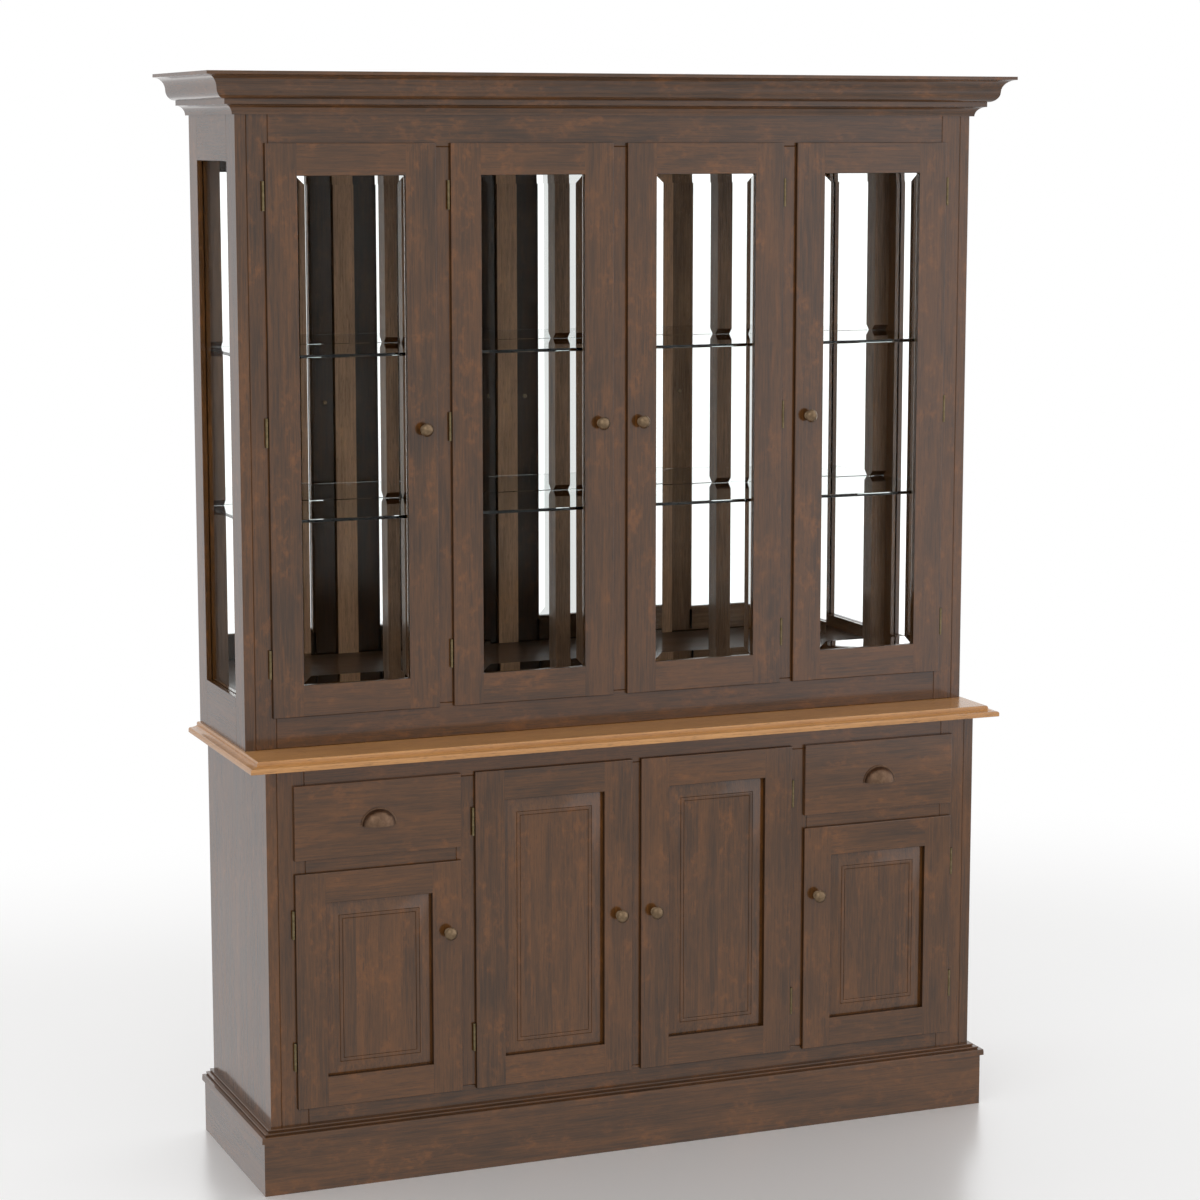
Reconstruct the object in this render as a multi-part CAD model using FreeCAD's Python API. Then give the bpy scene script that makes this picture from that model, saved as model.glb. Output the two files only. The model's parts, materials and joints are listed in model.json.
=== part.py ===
import FreeCAD, Part
import os

# Dresser with a glazed hutch: a base with two drawers and four panelled doors, and above it a
# hutch with four bevelled-glass doors, a mirrored back and glass shelves.
# Millimetres.  +Z is up, the front faces -Y, X runs to the right as seen from the front.
# The origin is on the floor, at the middle of the counter's width and depth.

os.makedirs("parts", exist_ok=True)
Vec = FreeCAD.Vector

# ---- overall -----------------------------------------------------------------------------------
TOTAL_HEIGHT = 2040.0
COUNTER_WIDTH = 1524.0
COUNTER_DEPTH = 441.0
COUNTER_THICK = 20.0
COUNTER_TOP_Z = 814.0
COUNTER_OVERHANG = 37.5        # past the base, at the front and both sides
HUTCH_SIDE_SETBACK = 23.5      # the hutch's sides stand this far in from the counter's ends
HUTCH_SETBACK = 82.5           # the hutch's face stands this far behind the base's face

# ---- boards and small gaps ---------------------------------------------------------------------
SIDE_THICK = 20.5
FRAME_THICK = 20.0             # face frame members
SHEET_THICK = 18.0             # floors, partitions and shelves
BASE_BACK_THICK = 6.0
GROOVE_EASE = 1.2              # chamfer that makes the fine V where two members meet
BOARD_ROUND = 1.5              # rounding of door and plinth edges
SLIDE_GAP = 0.4                # between pieces that slide or swing past each other
FIT_GAP = 0.05                 # round pegs in their holes

# ---- hutch -------------------------------------------------------------------------------------
HUTCH_STILE = 39.5
HUTCH_MULLION = 43.0
HUTCH_BOTTOM_RAIL = 64.5
HUTCH_TOP_RAIL = 57.0          # height that shows under the cornice
HUTCH_TOP_RECESS = 12.0        # top board below the cornice's top
WINDOW_FRONT_STILE = 60.5      # side window frames
WINDOW_BACK_STILE = 55.0
WINDOW_BOTTOM_RAIL = 90.0
WINDOW_TOP_RAIL = 82.5         # height that shows under the cornice
HUTCH_BACK_THICK = 3.2
MIRROR_THICK = 4.0
MIRROR_JOINT = 1.0
POST_WIDTH = 31.5
POST_THICK = 18.0
NOTCH_HALF_HEIGHT = 14.0
NOTCH_DEPTH = 15.0
GLASS_SHELF_THICK = 6.0
GLASS_SHELF_HEIGHTS = (350.0, 651.0)   # middle of each shelf above the hutch floor
GLASS_SHELF_FRONT_GAP = 12.5           # behind the face frame
GLASS_SHELF_END_GAP = 2.0

# ---- cornice, from the bottom: foot, small cove, fillet, round, large cove, lip ----------------
CORNICE_FOOT = 6.5
CORNICE_SMALL_COVE = 18.0
CORNICE_FILLET = 9.0
CORNICE_ROUND = 19.0
CORNICE_LARGE_COVE = 23.5
CORNICE_LIP = 6.0

# ---- base --------------------------------------------------------------------------------------
BASE_STILE = 51.5
BASE_MULLION = 43.0
CENTRE_MULLION = 33.0
SIDE_OPENING_WIDTH = 291.7
BASE_TOP_RAIL = 40.0
BASE_BOTTOM_RAIL = 100.0
BASE_FLOOR_Z = 160.0           # top of the bottom rail and of the base floor
MIDDLE_RAIL = 39.0
DRAWER_OPENING_HEIGHT = 125.5
SIDE_SHELF_RISE = 205.0        # shelf tops above the base floor
CENTRE_SHELF_RISE = 290.0
SHELF_SETBACK = 14.0
SHELF_END_GAP = 1.0
SHELF_PIN_INSET = 40.0         # pegs in from the shelf's front and back
PLINTH_HEIGHT = 101.5
PLINTH_THICK = 18.7

# ---- moulding on the plinth: a rounded fascia and two beads that step back above it ------------
MOULD_HEIGHT = 21.0
MOULD_OVERHANG = 24.3
MOULD_FASCIA_RISE = 10.5
MOULD_FASCIA_RUN = 7.0
MOULD_BEADS = 2
MOULD_QUIRK = 2.0              # flat between one round and the next
MOULD_BULGE = 1.4

# ---- counter's edge, from the bottom: nose, shallow hollow, step and round ---------------------
COUNTER_EASE = 1.5
COUNTER_NOSE = 4.0
COUNTER_HOLLOW_RISE = 3.0
COUNTER_HOLLOW_SAG = 0.8
COUNTER_STEP_RISE = 7.0
COUNTER_STEP_ROUND = 3.5
COUNTER_STEP_INSET = 16.5

# ---- doors and drawer fronts: a lip lies on the frame, the rest stands in the opening ----------
DOOR_THICK = 19.0
DOOR_PROUD = 8.0
LIP_GAP = 0.5
OPENING_GAP = 2.0
OVERLAY_X = 7.5
OVERLAY_Z = 6.8
OUTER_OVERLAY = 21.5           # at the outer stiles of the base
HUTCH_DOOR_STILE = 58.5
BASE_DOOR_STILE = 57.5
TENON_LENGTH = 20.0
TENON_THICK = 6.0
TENON_SHOULDER = 12.0
GLAZED_TENON_DEPTH = 2.5       # tenon's front behind the door's face
REBATE_WIDTH = 7.0
GLASS_SEAT_DEPTH = 9.0
GLASS_THICK = 5.0
GLASS_RIM_THICK = 3.0
GLASS_BEVEL = 13.0
GLASS_EDGE_GAP = 0.3
BEAD_THICK = 6.0
SIDE_GLASS_THICK = 4.0
PANEL_GROOVE_DEPTH = 9.0
PANEL_EDGE_GAP = 1.0
PANEL_TONGUE_DEPTH = 6.5       # tongue's front behind the door's face
PANEL_TONGUE_THICK = 6.0
PANEL_SLOPE = 24.7             # width of the sloping border
PANEL_FIELD_DEPTH = 3.8        # flat field behind the door's face
PANEL_BEAD = 7.0               # bead between the slope and the field
PANEL_BEAD_RISE = 1.6

# ---- drawers -----------------------------------------------------------------------------------
DRAWER_SIDE = 12.0
DRAWER_BOX_GAP = 3.0
DRAWER_BOX_HEIGHT = 110.0
DRAWER_REAR_GAP = 41.5         # closed drawer to the base's back
DRAWER_BOTTOM_THICK = 6.0
DRAWER_BOTTOM_RISE = 8.0
DRAWER_GROOVE = 5.0
RUNNER_THICK = 12.0
GUIDE_HEIGHT = 40.0

# ---- hardware ----------------------------------------------------------------------------------
HINGE_HEIGHT = 53.0
HINGE_RADIUS = 3.0
HINGE_PIN_RADIUS = 1.6
HINGE_STANDOFF = 3.4           # barrel axis in front of the face frame
HINGE_LEAF_THICK = 1.2
HINGE_LEAF_WIDTH = 9.0
HINGE_INSET_TOP = 94.0
HINGE_INSET_BOTTOM = 100.0
KNOB_INSET = 27.0
KNOB_RADIUS = 12.5
KNOB_PROJECTION = 24.0
KNOB_HEAD_HEIGHT = 12.0        # from the end of the neck to the tip
KNOB_CROWN_HEIGHT = 7.5        # from the widest edge to the tip
KNOB_SWELL = 1.9
KNOB_TIP_FLAT = 1.5
KNOB_FLANGE_RADIUS = 8.0
KNOB_FLANGE_THICK = 1.6
KNOB_NECK_RADIUS = 5.0
BASE_KNOB_Z = 462.0
SCREW_RADIUS = 2.0
SCREW_HEAD_RADIUS = 4.5
SCREW_HEAD_THICK = 2.0
SCREW_BITE = 12.0              # length inside the knob or pull
PULL_WIDTH = 64.0
PULL_HEIGHT = 30.0
PULL_PROJECTION = 21.0
PULL_WALL = 1.8
PULL_FLANGE = 2.5
PULL_FLANGE_THICK = 1.5
PULL_DROP = 14.0               # pull's open edge below the middle of the drawer front
PIN_RADIUS = 2.5
PIN_LENGTH = 10.0              # length that sticks out of the wood
PIN_BITE = 8.0
CATCH_LENGTH = 36.0            # magnets behind the doors and the plates that they hold
CATCH_HEIGHT = 12.0
CATCH_PLATE_THICK = 1.2
CATCH_REACH = 8.0              # behind the face frame
CATCH_INSET = 85.0             # middle of the catch from the opening's free side

# ---- places worked out from the sizes ----------------------------------------------------------
BACK_Y = COUNTER_DEPTH / 2
COUNTER_FRONT_Y = -COUNTER_DEPTH / 2
BASE_FACE_Y = COUNTER_FRONT_Y + COUNTER_OVERHANG
HUTCH_FACE_Y = BASE_FACE_Y + HUTCH_SETBACK
BASE_HALF = COUNTER_WIDTH / 2 - COUNTER_OVERHANG
HUTCH_HALF = COUNTER_WIDTH / 2 - HUTCH_SIDE_SETBACK
BASE_INNER = BASE_HALF - SIDE_THICK
HUTCH_INNER = HUTCH_HALF - SIDE_THICK
COUNTER_BOTTOM_Z = COUNTER_TOP_Z - COUNTER_THICK
CORNICE_HEIGHT = (CORNICE_SMALL_COVE + CORNICE_FILLET + CORNICE_ROUND
                  + CORNICE_LARGE_COVE + CORNICE_LIP)
CORNICE_Z = TOTAL_HEIGHT - CORNICE_HEIGHT
HUTCH_TOP_Z = TOTAL_HEIGHT - HUTCH_TOP_RECESS
HUTCH_FLOOR_Z = COUNTER_TOP_Z + HUTCH_BOTTOM_RAIL
HUTCH_LINTEL_Z = CORNICE_Z - HUTCH_TOP_RAIL
HUTCH_FRAME_BACK_Y = HUTCH_FACE_Y + FRAME_THICK
BASE_FRAME_BACK_Y = BASE_FACE_Y + FRAME_THICK
BASE_LINTEL_Z = COUNTER_BOTTOM_Z - BASE_TOP_RAIL
DRAWER_OPENING_Z = BASE_LINTEL_Z - DRAWER_OPENING_HEIGHT
SIDE_DOOR_LINTEL_Z = DRAWER_OPENING_Z - MIDDLE_RAIL
BASE_REAR_Y = BACK_Y - BASE_BACK_THICK
FAR = 2 * COUNTER_WIDTH        # reaches past the whole dresser
MIRROR_BACK_Y = BACK_Y - HUTCH_BACK_THICK
MIRROR_FACE_Y = MIRROR_BACK_Y - MIRROR_THICK
POST_FACE_Y = MIRROR_FACE_Y - POST_THICK
SHELF_PIN_REACH = GLASS_SHELF_FRONT_GAP + PIN_LENGTH

parts = {}


# ---- drawing helpers ---------------------------------------------------------------------------
def box(x, y, z):
    """Block between the low and high values of each pair."""
    return Part.makeBox(x[1] - x[0], y[1] - y[0], z[1] - z[0], Vec(x[0], y[0], z[0]))


def rod(radius, start, direction, length):
    return Part.makeCylinder(radius, length, Vec(*start), Vec(*direction))


def is_arc(step):
    """A step of a path is a point, or an arc given as its middle point and its end point."""
    return isinstance(step[0], tuple)


def end_of(step):
    return step[1] if is_arc(step) else step


def face_from(path, place):
    """Closed face from a path of 2-D steps, put into space by the function place."""
    edges = []
    here = path[0]
    for step in path[1:] + [path[0]]:
        end = end_of(step)
        if is_arc(step):
            edges.append(Part.Arc(place(*here), place(*step[0]), place(*end)).toShape())
        else:
            edges.append(Part.makeLine(place(*here), place(*end)))
        here = end
    return Part.Face(Part.Wire(edges))


def moved(path, shift):
    """The path with its first coordinate moved by shift."""
    return [((step[0][0] + shift, step[0][1]), (step[1][0] + shift, step[1][1]))
            if is_arc(step) else (step[0] + shift, step[1]) for step in path]


def backwards(path):
    """The path run from its end to its start, on the other side of zero."""
    ends = [(-end_of(step)[0], end_of(step)[1]) for step in path]
    result = [ends[-1]]
    for index in range(len(path) - 1, 0, -1):
        step = path[index]
        goal = ends[index - 1]
        result.append(((-step[0][0], step[0][1]), goal) if is_arc(step) else goal)
    return result


def both_sides(path, half):
    """Outline of something symmetric, from the path of its right edge out past half."""
    right = moved(path, half)
    return right + backwards(right)


def quarter(centre, radius, towards):
    """Middle of a quarter circle, on the side of the centre that the signs in towards give."""
    step = radius * 0.5 ** 0.5
    return centre[0] + towards[0] * step, centre[1] + towards[1] * step


def bowed(start, end, bulge):
    """Arc from start to end that stands out by bulge to the right of that way."""
    run = end[0] - start[0]
    rise = end[1] - start[1]
    length = (run ** 2 + rise ** 2) ** 0.5
    middle = ((start[0] + end[0]) / 2 + bulge * rise / length,
              (start[1] + end[1]) / 2 - bulge * run / length)
    return middle, end


def moulded_block(path, half, face_y):
    """Block with the moulding path (overhang, height) on its front and both sides.

    The path runs from the bottom to the top, and the corners come out mitred.
    """
    across = face_from(both_sides(path, half), lambda x, z: Vec(x, -FAR, z))
    across = across.extrude(Vec(0, FAR + BACK_Y, 0))
    back = face_y - BACK_Y
    section = path + [(back, end_of(path[-1])[1]), (back, path[0][1])]
    along = face_from(section, lambda out, z: Vec(-FAR, face_y - out, z))
    return across.common(along.extrude(Vec(2 * FAR, 0, 0)))


def mitred_ring(path, half, face_y):
    """Front, left and right lengths of a moulding that wraps a carcass, mitred at the corners."""
    low = path[0][1]
    high = end_of(path[-1])[1]
    core = box((-half, half), (face_y, FAR), (low - 1, high + 1))
    ring = moulded_block(path, half, face_y).cut(core)
    corners = [(-half, face_y), (half, face_y)]
    outlines = [corners + [(half + FAR, face_y - FAR), (-half - FAR, face_y - FAR)]]
    for side, corner in zip((-1, 1), corners):
        outlines.append([corner, (side * (half + FAR), face_y - FAR),
                         (side * (half + FAR), BACK_Y), (side * half, BACK_Y)])
    pieces = []
    for outline in outlines:
        wedge = face_from(outline, lambda x, y: Vec(x, y, low - 1))
        pieces.append(ring.common(wedge.extrude(Vec(0, 0, high - low + 2))))
    return pieces


def relief_slab(x, z, path):
    """Slab whose front has the path (minus the inset from the edge, y) along all four edges."""
    mid_x = (x[0] + x[1]) / 2
    mid_z = (z[0] + z[1]) / 2
    upright = face_from(both_sides(path, mid_x - x[0]), lambda u, y: Vec(mid_x + u, y, z[0]))
    level = face_from(both_sides(path, mid_z - z[0]), lambda u, y: Vec(x[0], y, mid_z + u))
    upright = upright.extrude(Vec(0, 0, z[1] - z[0]))
    return upright.common(level.extrude(Vec(x[1] - x[0], 0, 0)))


def front_edges(shape, face_y):
    return [edge for edge in shape.Edges
            if all(abs(vertex.Point.y - face_y) < 0.001 for vertex in edge.Vertexes)]


def eased(shape, face_y):
    """Small chamfer around the front face, so that neighbours meet in a fine V."""
    return shape.makeChamfer(GROOVE_EASE, front_edges(shape, face_y))


def rounded(shape, face_y):
    return shape.makeFillet(BOARD_ROUND, front_edges(shape, face_y))


def cut_all(shape, tools):
    for tool in tools:
        shape = shape.cut(tool)
    return shape


def add(name, *solids):
    parts.setdefault(name, []).extend(solids)


# ---- openings in the two face frames -----------------------------------------------------------
def hutch_openings():
    inner = HUTCH_INNER - HUTCH_STILE
    width = (2 * inner - 3 * HUTCH_MULLION) / 4
    lefts = [-inner + index * (width + HUTCH_MULLION) for index in range(4)]
    return [(left, left + width) for left in lefts]


def base_openings():
    inner = BASE_INNER - BASE_STILE
    side = inner - SIDE_OPENING_WIDTH
    near = side - BASE_MULLION
    return [(-inner, -side), (-near, -CENTRE_MULLION / 2), (CENTRE_MULLION / 2, near),
            (side, inner)]


HUTCH_OPENINGS = hutch_openings()
BASE_OPENINGS = base_openings()
PARTITION_X = BASE_OPENINGS[3][0] - BASE_MULLION / 2


# ---- hinges ------------------------------------------------------------------------------------
def hinge_axis(door_edge_x, face_y, side):
    """side is +1 where the door runs to the right of its hinge, and -1 where it runs left."""
    return door_edge_x - side * (HINGE_RADIUS + SLIDE_GAP), face_y - HINGE_STANDOFF


def span(start, side, length):
    return (start, start + length) if side > 0 else (start - length, start)


def hinge_heights(z, count):
    low = z[0] + HINGE_INSET_BOTTOM
    high = z[1] - HINGE_INSET_TOP
    return [low + (high - low) * index / (count - 1) for index in range(count)]


def frame_leaf_plate(axis_x, face_y, side, middle_z):
    z = (middle_z - HINGE_HEIGHT / 2, middle_z + HINGE_HEIGHT / 2)
    return box(span(axis_x - side * HINGE_RADIUS / 2, side, HINGE_LEAF_WIDTH),
               (face_y, face_y + HINGE_LEAF_THICK), z)


def frame_leaf(axis_x, axis_y, face_y, side, middle_z):
    """Fixed leaf with the two outer knuckles and the pin riveted through them."""
    third = HINGE_HEIGHT / 3
    low = middle_z - HINGE_HEIGHT / 2
    leaf = frame_leaf_plate(axis_x, face_y, side, middle_z)
    leaf = leaf.fuse(rod(HINGE_PIN_RADIUS, (axis_x, axis_y, low), (0, 0, 1), HINGE_HEIGHT))
    for knuckle_z in (low, low + 2 * third):
        knuckle = rod(HINGE_RADIUS, (axis_x, axis_y, knuckle_z), (0, 0, 1), third)
        web = box((axis_x - HINGE_RADIUS / 3, axis_x + HINGE_RADIUS / 3), (axis_y, face_y),
                  (knuckle_z, knuckle_z + third))
        leaf = leaf.fuse(knuckle).fuse(web)
    return leaf.removeSplitter()


def door_leaf_plate(axis_x, face_y, side, middle_z):
    z = (middle_z - HINGE_HEIGHT / 2, middle_z + HINGE_HEIGHT / 2)
    start = axis_x + side * (HINGE_RADIUS + SLIDE_GAP)
    back = face_y - LIP_GAP
    width = HINGE_LEAF_WIDTH - HINGE_RADIUS
    return box(span(start, side, width), (back - HINGE_LEAF_THICK, back), z)


def door_leaf(axis_x, axis_y, face_y, side, middle_z):
    """Moving leaf: the middle knuckle, and a plate let into the back of the door's lip."""
    third = HINGE_HEIGHT / 3
    z = (middle_z - third / 2 + SLIDE_GAP, middle_z + third / 2 - SLIDE_GAP)
    back = face_y - LIP_GAP
    knuckle = rod(HINGE_RADIUS, (axis_x, axis_y, z[0]), (0, 0, 1), z[1] - z[0])
    neck = box(span(axis_x, side, HINGE_RADIUS + SLIDE_GAP), (back - HINGE_LEAF_THICK, back), z)
    leaf = knuckle.fuse(neck).fuse(door_leaf_plate(axis_x, face_y, side, middle_z))
    bore = rod(HINGE_PIN_RADIUS + FIT_GAP, (axis_x, axis_y, z[0] - 1), (0, 0, 1), HINGE_HEIGHT)
    return leaf.cut(bore).removeSplitter()


# ---- knobs and pulls ---------------------------------------------------------------------------
def knob(x, z, face_y, back_y):
    """Turned knob on the face, and the screw that holds it from behind."""
    neck_end = (KNOB_NECK_RADIUS, KNOB_PROJECTION - KNOB_HEAD_HEIGHT)
    edge = (KNOB_RADIUS, KNOB_PROJECTION - KNOB_CROWN_HEIGHT)
    path = [(0, 0), (KNOB_FLANGE_RADIUS, 0), (KNOB_FLANGE_RADIUS, KNOB_FLANGE_THICK),
            (KNOB_NECK_RADIUS, 2 * KNOB_FLANGE_THICK), neck_end,
            bowed(neck_end, edge, KNOB_SWELL),
            bowed(edge, (KNOB_TIP_FLAT, KNOB_PROJECTION), KNOB_SWELL), (0, KNOB_PROJECTION)]
    body = face_from(path, lambda r, out: Vec(x + r, face_y - out, z))
    body = body.revolve(Vec(x, face_y, z), Vec(0, 1, 0), 360)
    body = body.cut(rod(SCREW_RADIUS + FIT_GAP, (x, face_y, z), (0, -1, 0), SCREW_BITE + 1))
    return body, screw(x, z, face_y, back_y)


def screw(x, z, face_y, back_y):
    shank = rod(SCREW_RADIUS, (x, back_y, z), (0, -1, 0), back_y - face_y + SCREW_BITE)
    head = rod(SCREW_HEAD_RADIUS, (x, back_y, z), (0, 1, 0), SCREW_HEAD_THICK)
    return shank.fuse(head).removeSplitter()


def screw_hole(x, z, face_y, back_y):
    return rod(SCREW_RADIUS + FIT_GAP, (x, face_y - 1, z), (0, 1, 0), back_y - face_y + 2)


def dome(x, y, z, half_width, projection, height):
    """Quarter of an ellipsoid: in front of y and above z."""
    ball = Part.makeSphere(1.0)
    scale = FreeCAD.Matrix()
    scale.scale(half_width, projection, height)
    ball = ball.transformGeometry(scale)
    ball.translate(Vec(x, y, z))
    return ball.common(box((x - 2 * half_width, x + 2 * half_width), (y - 2 * projection, y),
                           (z, z + 2 * height)))


def half_oval(x, y, z, half_width, height, thick):
    """Upper half of an upright oval plate whose back is at y."""
    plate = rod(1.0, (0, 0, 0), (0, -1, 0), 1.0)
    scale = FreeCAD.Matrix()
    scale.scale(half_width, thick, height)
    plate = plate.transformGeometry(scale)
    plate.translate(Vec(x, y, z))
    return plate.common(box((x - 2 * half_width, x + 2 * half_width), (y - 2 * thick, y + 1),
                            (z, z + 2 * height)))


def cup_pull(x, z, face_y):
    """Half-round cup, open below, with a narrow flange on the drawer front and two bosses."""
    half = PULL_WIDTH / 2
    shell = dome(x, face_y, z, half, PULL_PROJECTION, PULL_HEIGHT)
    flange = half_oval(x, face_y, z, half + PULL_FLANGE, PULL_HEIGHT + PULL_FLANGE,
                       PULL_FLANGE_THICK)
    hollow = dome(x, face_y + 0.01, z - 0.01, half - PULL_WALL, PULL_PROJECTION - PULL_WALL,
                  PULL_HEIGHT - PULL_WALL)
    shell = shell.fuse(flange).cut(hollow)
    for boss_x in pull_screw_places(x):
        boss = rod(SCREW_RADIUS + PULL_WALL, (boss_x, face_y, z + PULL_HEIGHT / 3), (0, -1, 0),
                   PULL_PROJECTION)
        outer = dome(x, face_y, z, half - PULL_WALL / 2, PULL_PROJECTION - PULL_WALL / 2,
                     PULL_HEIGHT - PULL_WALL / 2)
        shell = shell.fuse(boss.common(outer))
        bore = rod(SCREW_RADIUS + FIT_GAP, (boss_x, face_y + 1, z + PULL_HEIGHT / 3), (0, -1, 0),
                   SCREW_BITE / 2 + 1)
        shell = shell.cut(bore)
    return shell.removeSplitter()


def pull_screw_places(x):
    return (x - PULL_WIDTH / 3, x + PULL_WIDTH / 3)


# ---- doors -------------------------------------------------------------------------------------
def door_blank(x, z, opening_x, opening_z, face_y):
    """Lipped slab: the lip lies in front of the frame, the rest stands in the opening."""
    front = face_y - DOOR_PROUD
    lip_back = face_y - LIP_GAP
    lip = rounded(box(x, (front, lip_back), z), front)
    inner = box((opening_x[0] + OPENING_GAP, opening_x[1] - OPENING_GAP),
                (lip_back, front + DOOR_THICK),
                (opening_z[0] + OPENING_GAP, opening_z[1] - OPENING_GAP))
    return lip.fuse(inner)


def door_members(blank, x, z, stile, front, tenon_depth):
    """Two stiles and two tenoned rails out of the blank."""
    full_y = (front - 1, front + DOOR_THICK + 1)
    tenon_y = (front + tenon_depth, front + tenon_depth + TENON_THICK)
    inner_x = (x[0] + stile, x[1] - stile)
    stiles = [blank.common(box((x[0] - 1, inner_x[0]), full_y, (z[0] - 1, z[1] + 1))),
              blank.common(box((inner_x[1], x[1] + 1), full_y, (z[0] - 1, z[1] + 1)))]
    rails = []
    for rail_z, tenon_z in (((z[0] - 1, z[0] + stile),
                             (z[0] + TENON_SHOULDER, z[0] + stile - TENON_SHOULDER)),
                            ((z[1] - stile, z[1] + 1),
                             (z[1] - stile + TENON_SHOULDER, z[1] - TENON_SHOULDER))):
        rail = blank.common(box(inner_x, full_y, rail_z))
        tenon = box((inner_x[0] - TENON_LENGTH, inner_x[1] + TENON_LENGTH), tenon_y, tenon_z)
        stiles = [member.cut(tenon) for member in stiles]
        rails.append(rail.fuse(tenon).removeSplitter())
    return stiles + rails


def glaze(members, x, z, front):
    """Rebate the members, and return them with their glazing beads, and the bevelled pane."""
    seat = front + GLASS_SEAT_DEPTH
    pane_back = seat + GLASS_RIM_THICK
    wide_x = (x[0] - REBATE_WIDTH, x[1] + REBATE_WIDTH)
    wide_z = (z[0] - REBATE_WIDTH, z[1] + REBATE_WIDTH)
    rebate = box(wide_x, (seat, front + DOOR_THICK + 1), wide_z)
    members = [member.cut(rebate) for member in members]
    rim = REBATE_WIDTH - GLASS_EDGE_GAP
    path = [(0, pane_back), (0, seat), (-rim, seat),
            (-rim - GLASS_BEVEL, pane_back - GLASS_THICK)]
    pane = relief_slab((x[0] - rim, x[1] + rim), (z[0] - rim, z[1] + rim), path)
    bead_y = (pane_back, pane_back + BEAD_THICK)
    beads = [box((wide_x[0], x[0]), bead_y, wide_z), box((x[1], wide_x[1]), bead_y, wide_z),
             box(x, bead_y, (wide_z[0], z[0])), box(x, bead_y, (z[1], wide_z[1]))]
    return members + beads, pane


def panelled(members, x, z, front):
    """Groove the members, and return them and the raised panel that stands in the groove."""
    tongue = front + PANEL_TONGUE_DEPTH
    back = tongue + PANEL_TONGUE_THICK
    groove_z = (z[0] - PANEL_GROOVE_DEPTH, z[1] + PANEL_GROOVE_DEPTH)
    groove = box((x[0] - PANEL_GROOVE_DEPTH, x[1] + PANEL_GROOVE_DEPTH), (tongue, back), groove_z)
    rail_groove = box(x, (tongue, back), groove_z)
    members = ([member.cut(groove) for member in members[:2]]
               + [member.cut(rail_groove) for member in members[2:]])
    rim = PANEL_GROOVE_DEPTH - PANEL_EDGE_GAP
    field = front + PANEL_FIELD_DEPTH
    bead_start = (-rim - PANEL_SLOPE, field)
    bead_end = (bead_start[0] - PANEL_BEAD, field)
    path = [(0, back), (0, tongue), (-rim, tongue), bead_start,
            bowed(bead_start, bead_end, -PANEL_BEAD_RISE)]
    panel = relief_slab((x[0] - rim, x[1] + rim), (z[0] - rim, z[1] + rim), path)
    return members, panel


def catch(opening_x, lintel_z, side, door_back, face_y):
    """Magnet under the rail above a door, and the steel plate let into the door's back."""
    free_x = opening_x[1] if side > 0 else opening_x[0]
    middle = free_x - side * CATCH_INSET
    x = (middle - CATCH_LENGTH / 2, middle + CATCH_LENGTH / 2)
    magnet = box(x, (door_back + SLIDE_GAP, face_y + FRAME_THICK + CATCH_REACH),
                 (lintel_z - CATCH_HEIGHT, lintel_z))
    top = lintel_z - OPENING_GAP - CATCH_PLATE_THICK
    strike = box(x, (door_back - CATCH_PLATE_THICK, door_back), (top - CATCH_HEIGHT, top))
    return magnet, strike


def make_door(name, x, z, opening_x, opening_z, face_y, side, glazed, hinge_count, knob_z):
    """One hung door: side is +1 when it is hinged on its left, and -1 on its right."""
    front = face_y - DOOR_PROUD
    back = front + DOOR_THICK
    stile = HUTCH_DOOR_STILE if glazed else BASE_DOOR_STILE
    tenon_depth = GLAZED_TENON_DEPTH if glazed else PANEL_TONGUE_DEPTH
    blank = door_blank(x, z, opening_x, opening_z, face_y)
    members = door_members(blank, x, z, stile, front, tenon_depth)
    field_x = (x[0] + stile, x[1] - stile)
    field_z = (z[0] + stile, z[1] - stile)
    if glazed:
        members, filling = glaze(members, field_x, field_z, front)
    else:
        members, filling = panelled(members, field_x, field_z, front)
    hung_edge = x[0] if side > 0 else x[1]
    knob_x = x[1] - KNOB_INSET if side > 0 else x[0] + KNOB_INSET
    axis_x, axis_y = hinge_axis(hung_edge, face_y, side)
    heights = hinge_heights(z, hinge_count)
    plates = [door_leaf_plate(axis_x, face_y, side, height) for height in heights]
    magnet, strike = catch(opening_x, opening_z[1], side, back, face_y)
    tools = plates + [screw_hole(knob_x, knob_z, front, back), strike]
    members = [cut_all(member, tools) for member in members]
    add(name + "_frame", *members)
    add(name + ("_glass" if glazed else "_panel"), filling)
    add(name + "_knob", *knob(knob_x, knob_z, front, back))
    add(name + "_fittings", strike, *[door_leaf(axis_x, axis_y, face_y, side, height)
                                      for height in heights])
    add("door_catches", magnet)
    add("frame_hinges", *[frame_leaf(axis_x, axis_y, face_y, side, height)
                          for height in heights])
    return [frame_leaf_plate(axis_x, face_y, side, height) for height in heights]


def make_hutch_doors():
    recesses = []
    z = (HUTCH_FLOOR_Z - OVERLAY_Z, HUTCH_LINTEL_Z + OVERLAY_Z)
    for index, opening in enumerate(HUTCH_OPENINGS):
        x = (opening[0] - OVERLAY_X, opening[1] + OVERLAY_X)
        side = 1 if index < 2 else -1
        recesses += make_door(f"hutch_door_{index + 1}", x, z, opening,
                              (HUTCH_FLOOR_Z, HUTCH_LINTEL_Z), HUTCH_FACE_Y, side, True, 3,
                              (z[0] + z[1]) / 2)
    return recesses


def base_front_span(index):
    """Width of the door or drawer front over a base opening."""
    left, right = BASE_OPENINGS[index]
    outer_left = OUTER_OVERLAY if index == 0 else OVERLAY_X
    outer_right = OUTER_OVERLAY if index == 3 else OVERLAY_X
    return left - outer_left, right + outer_right


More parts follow.
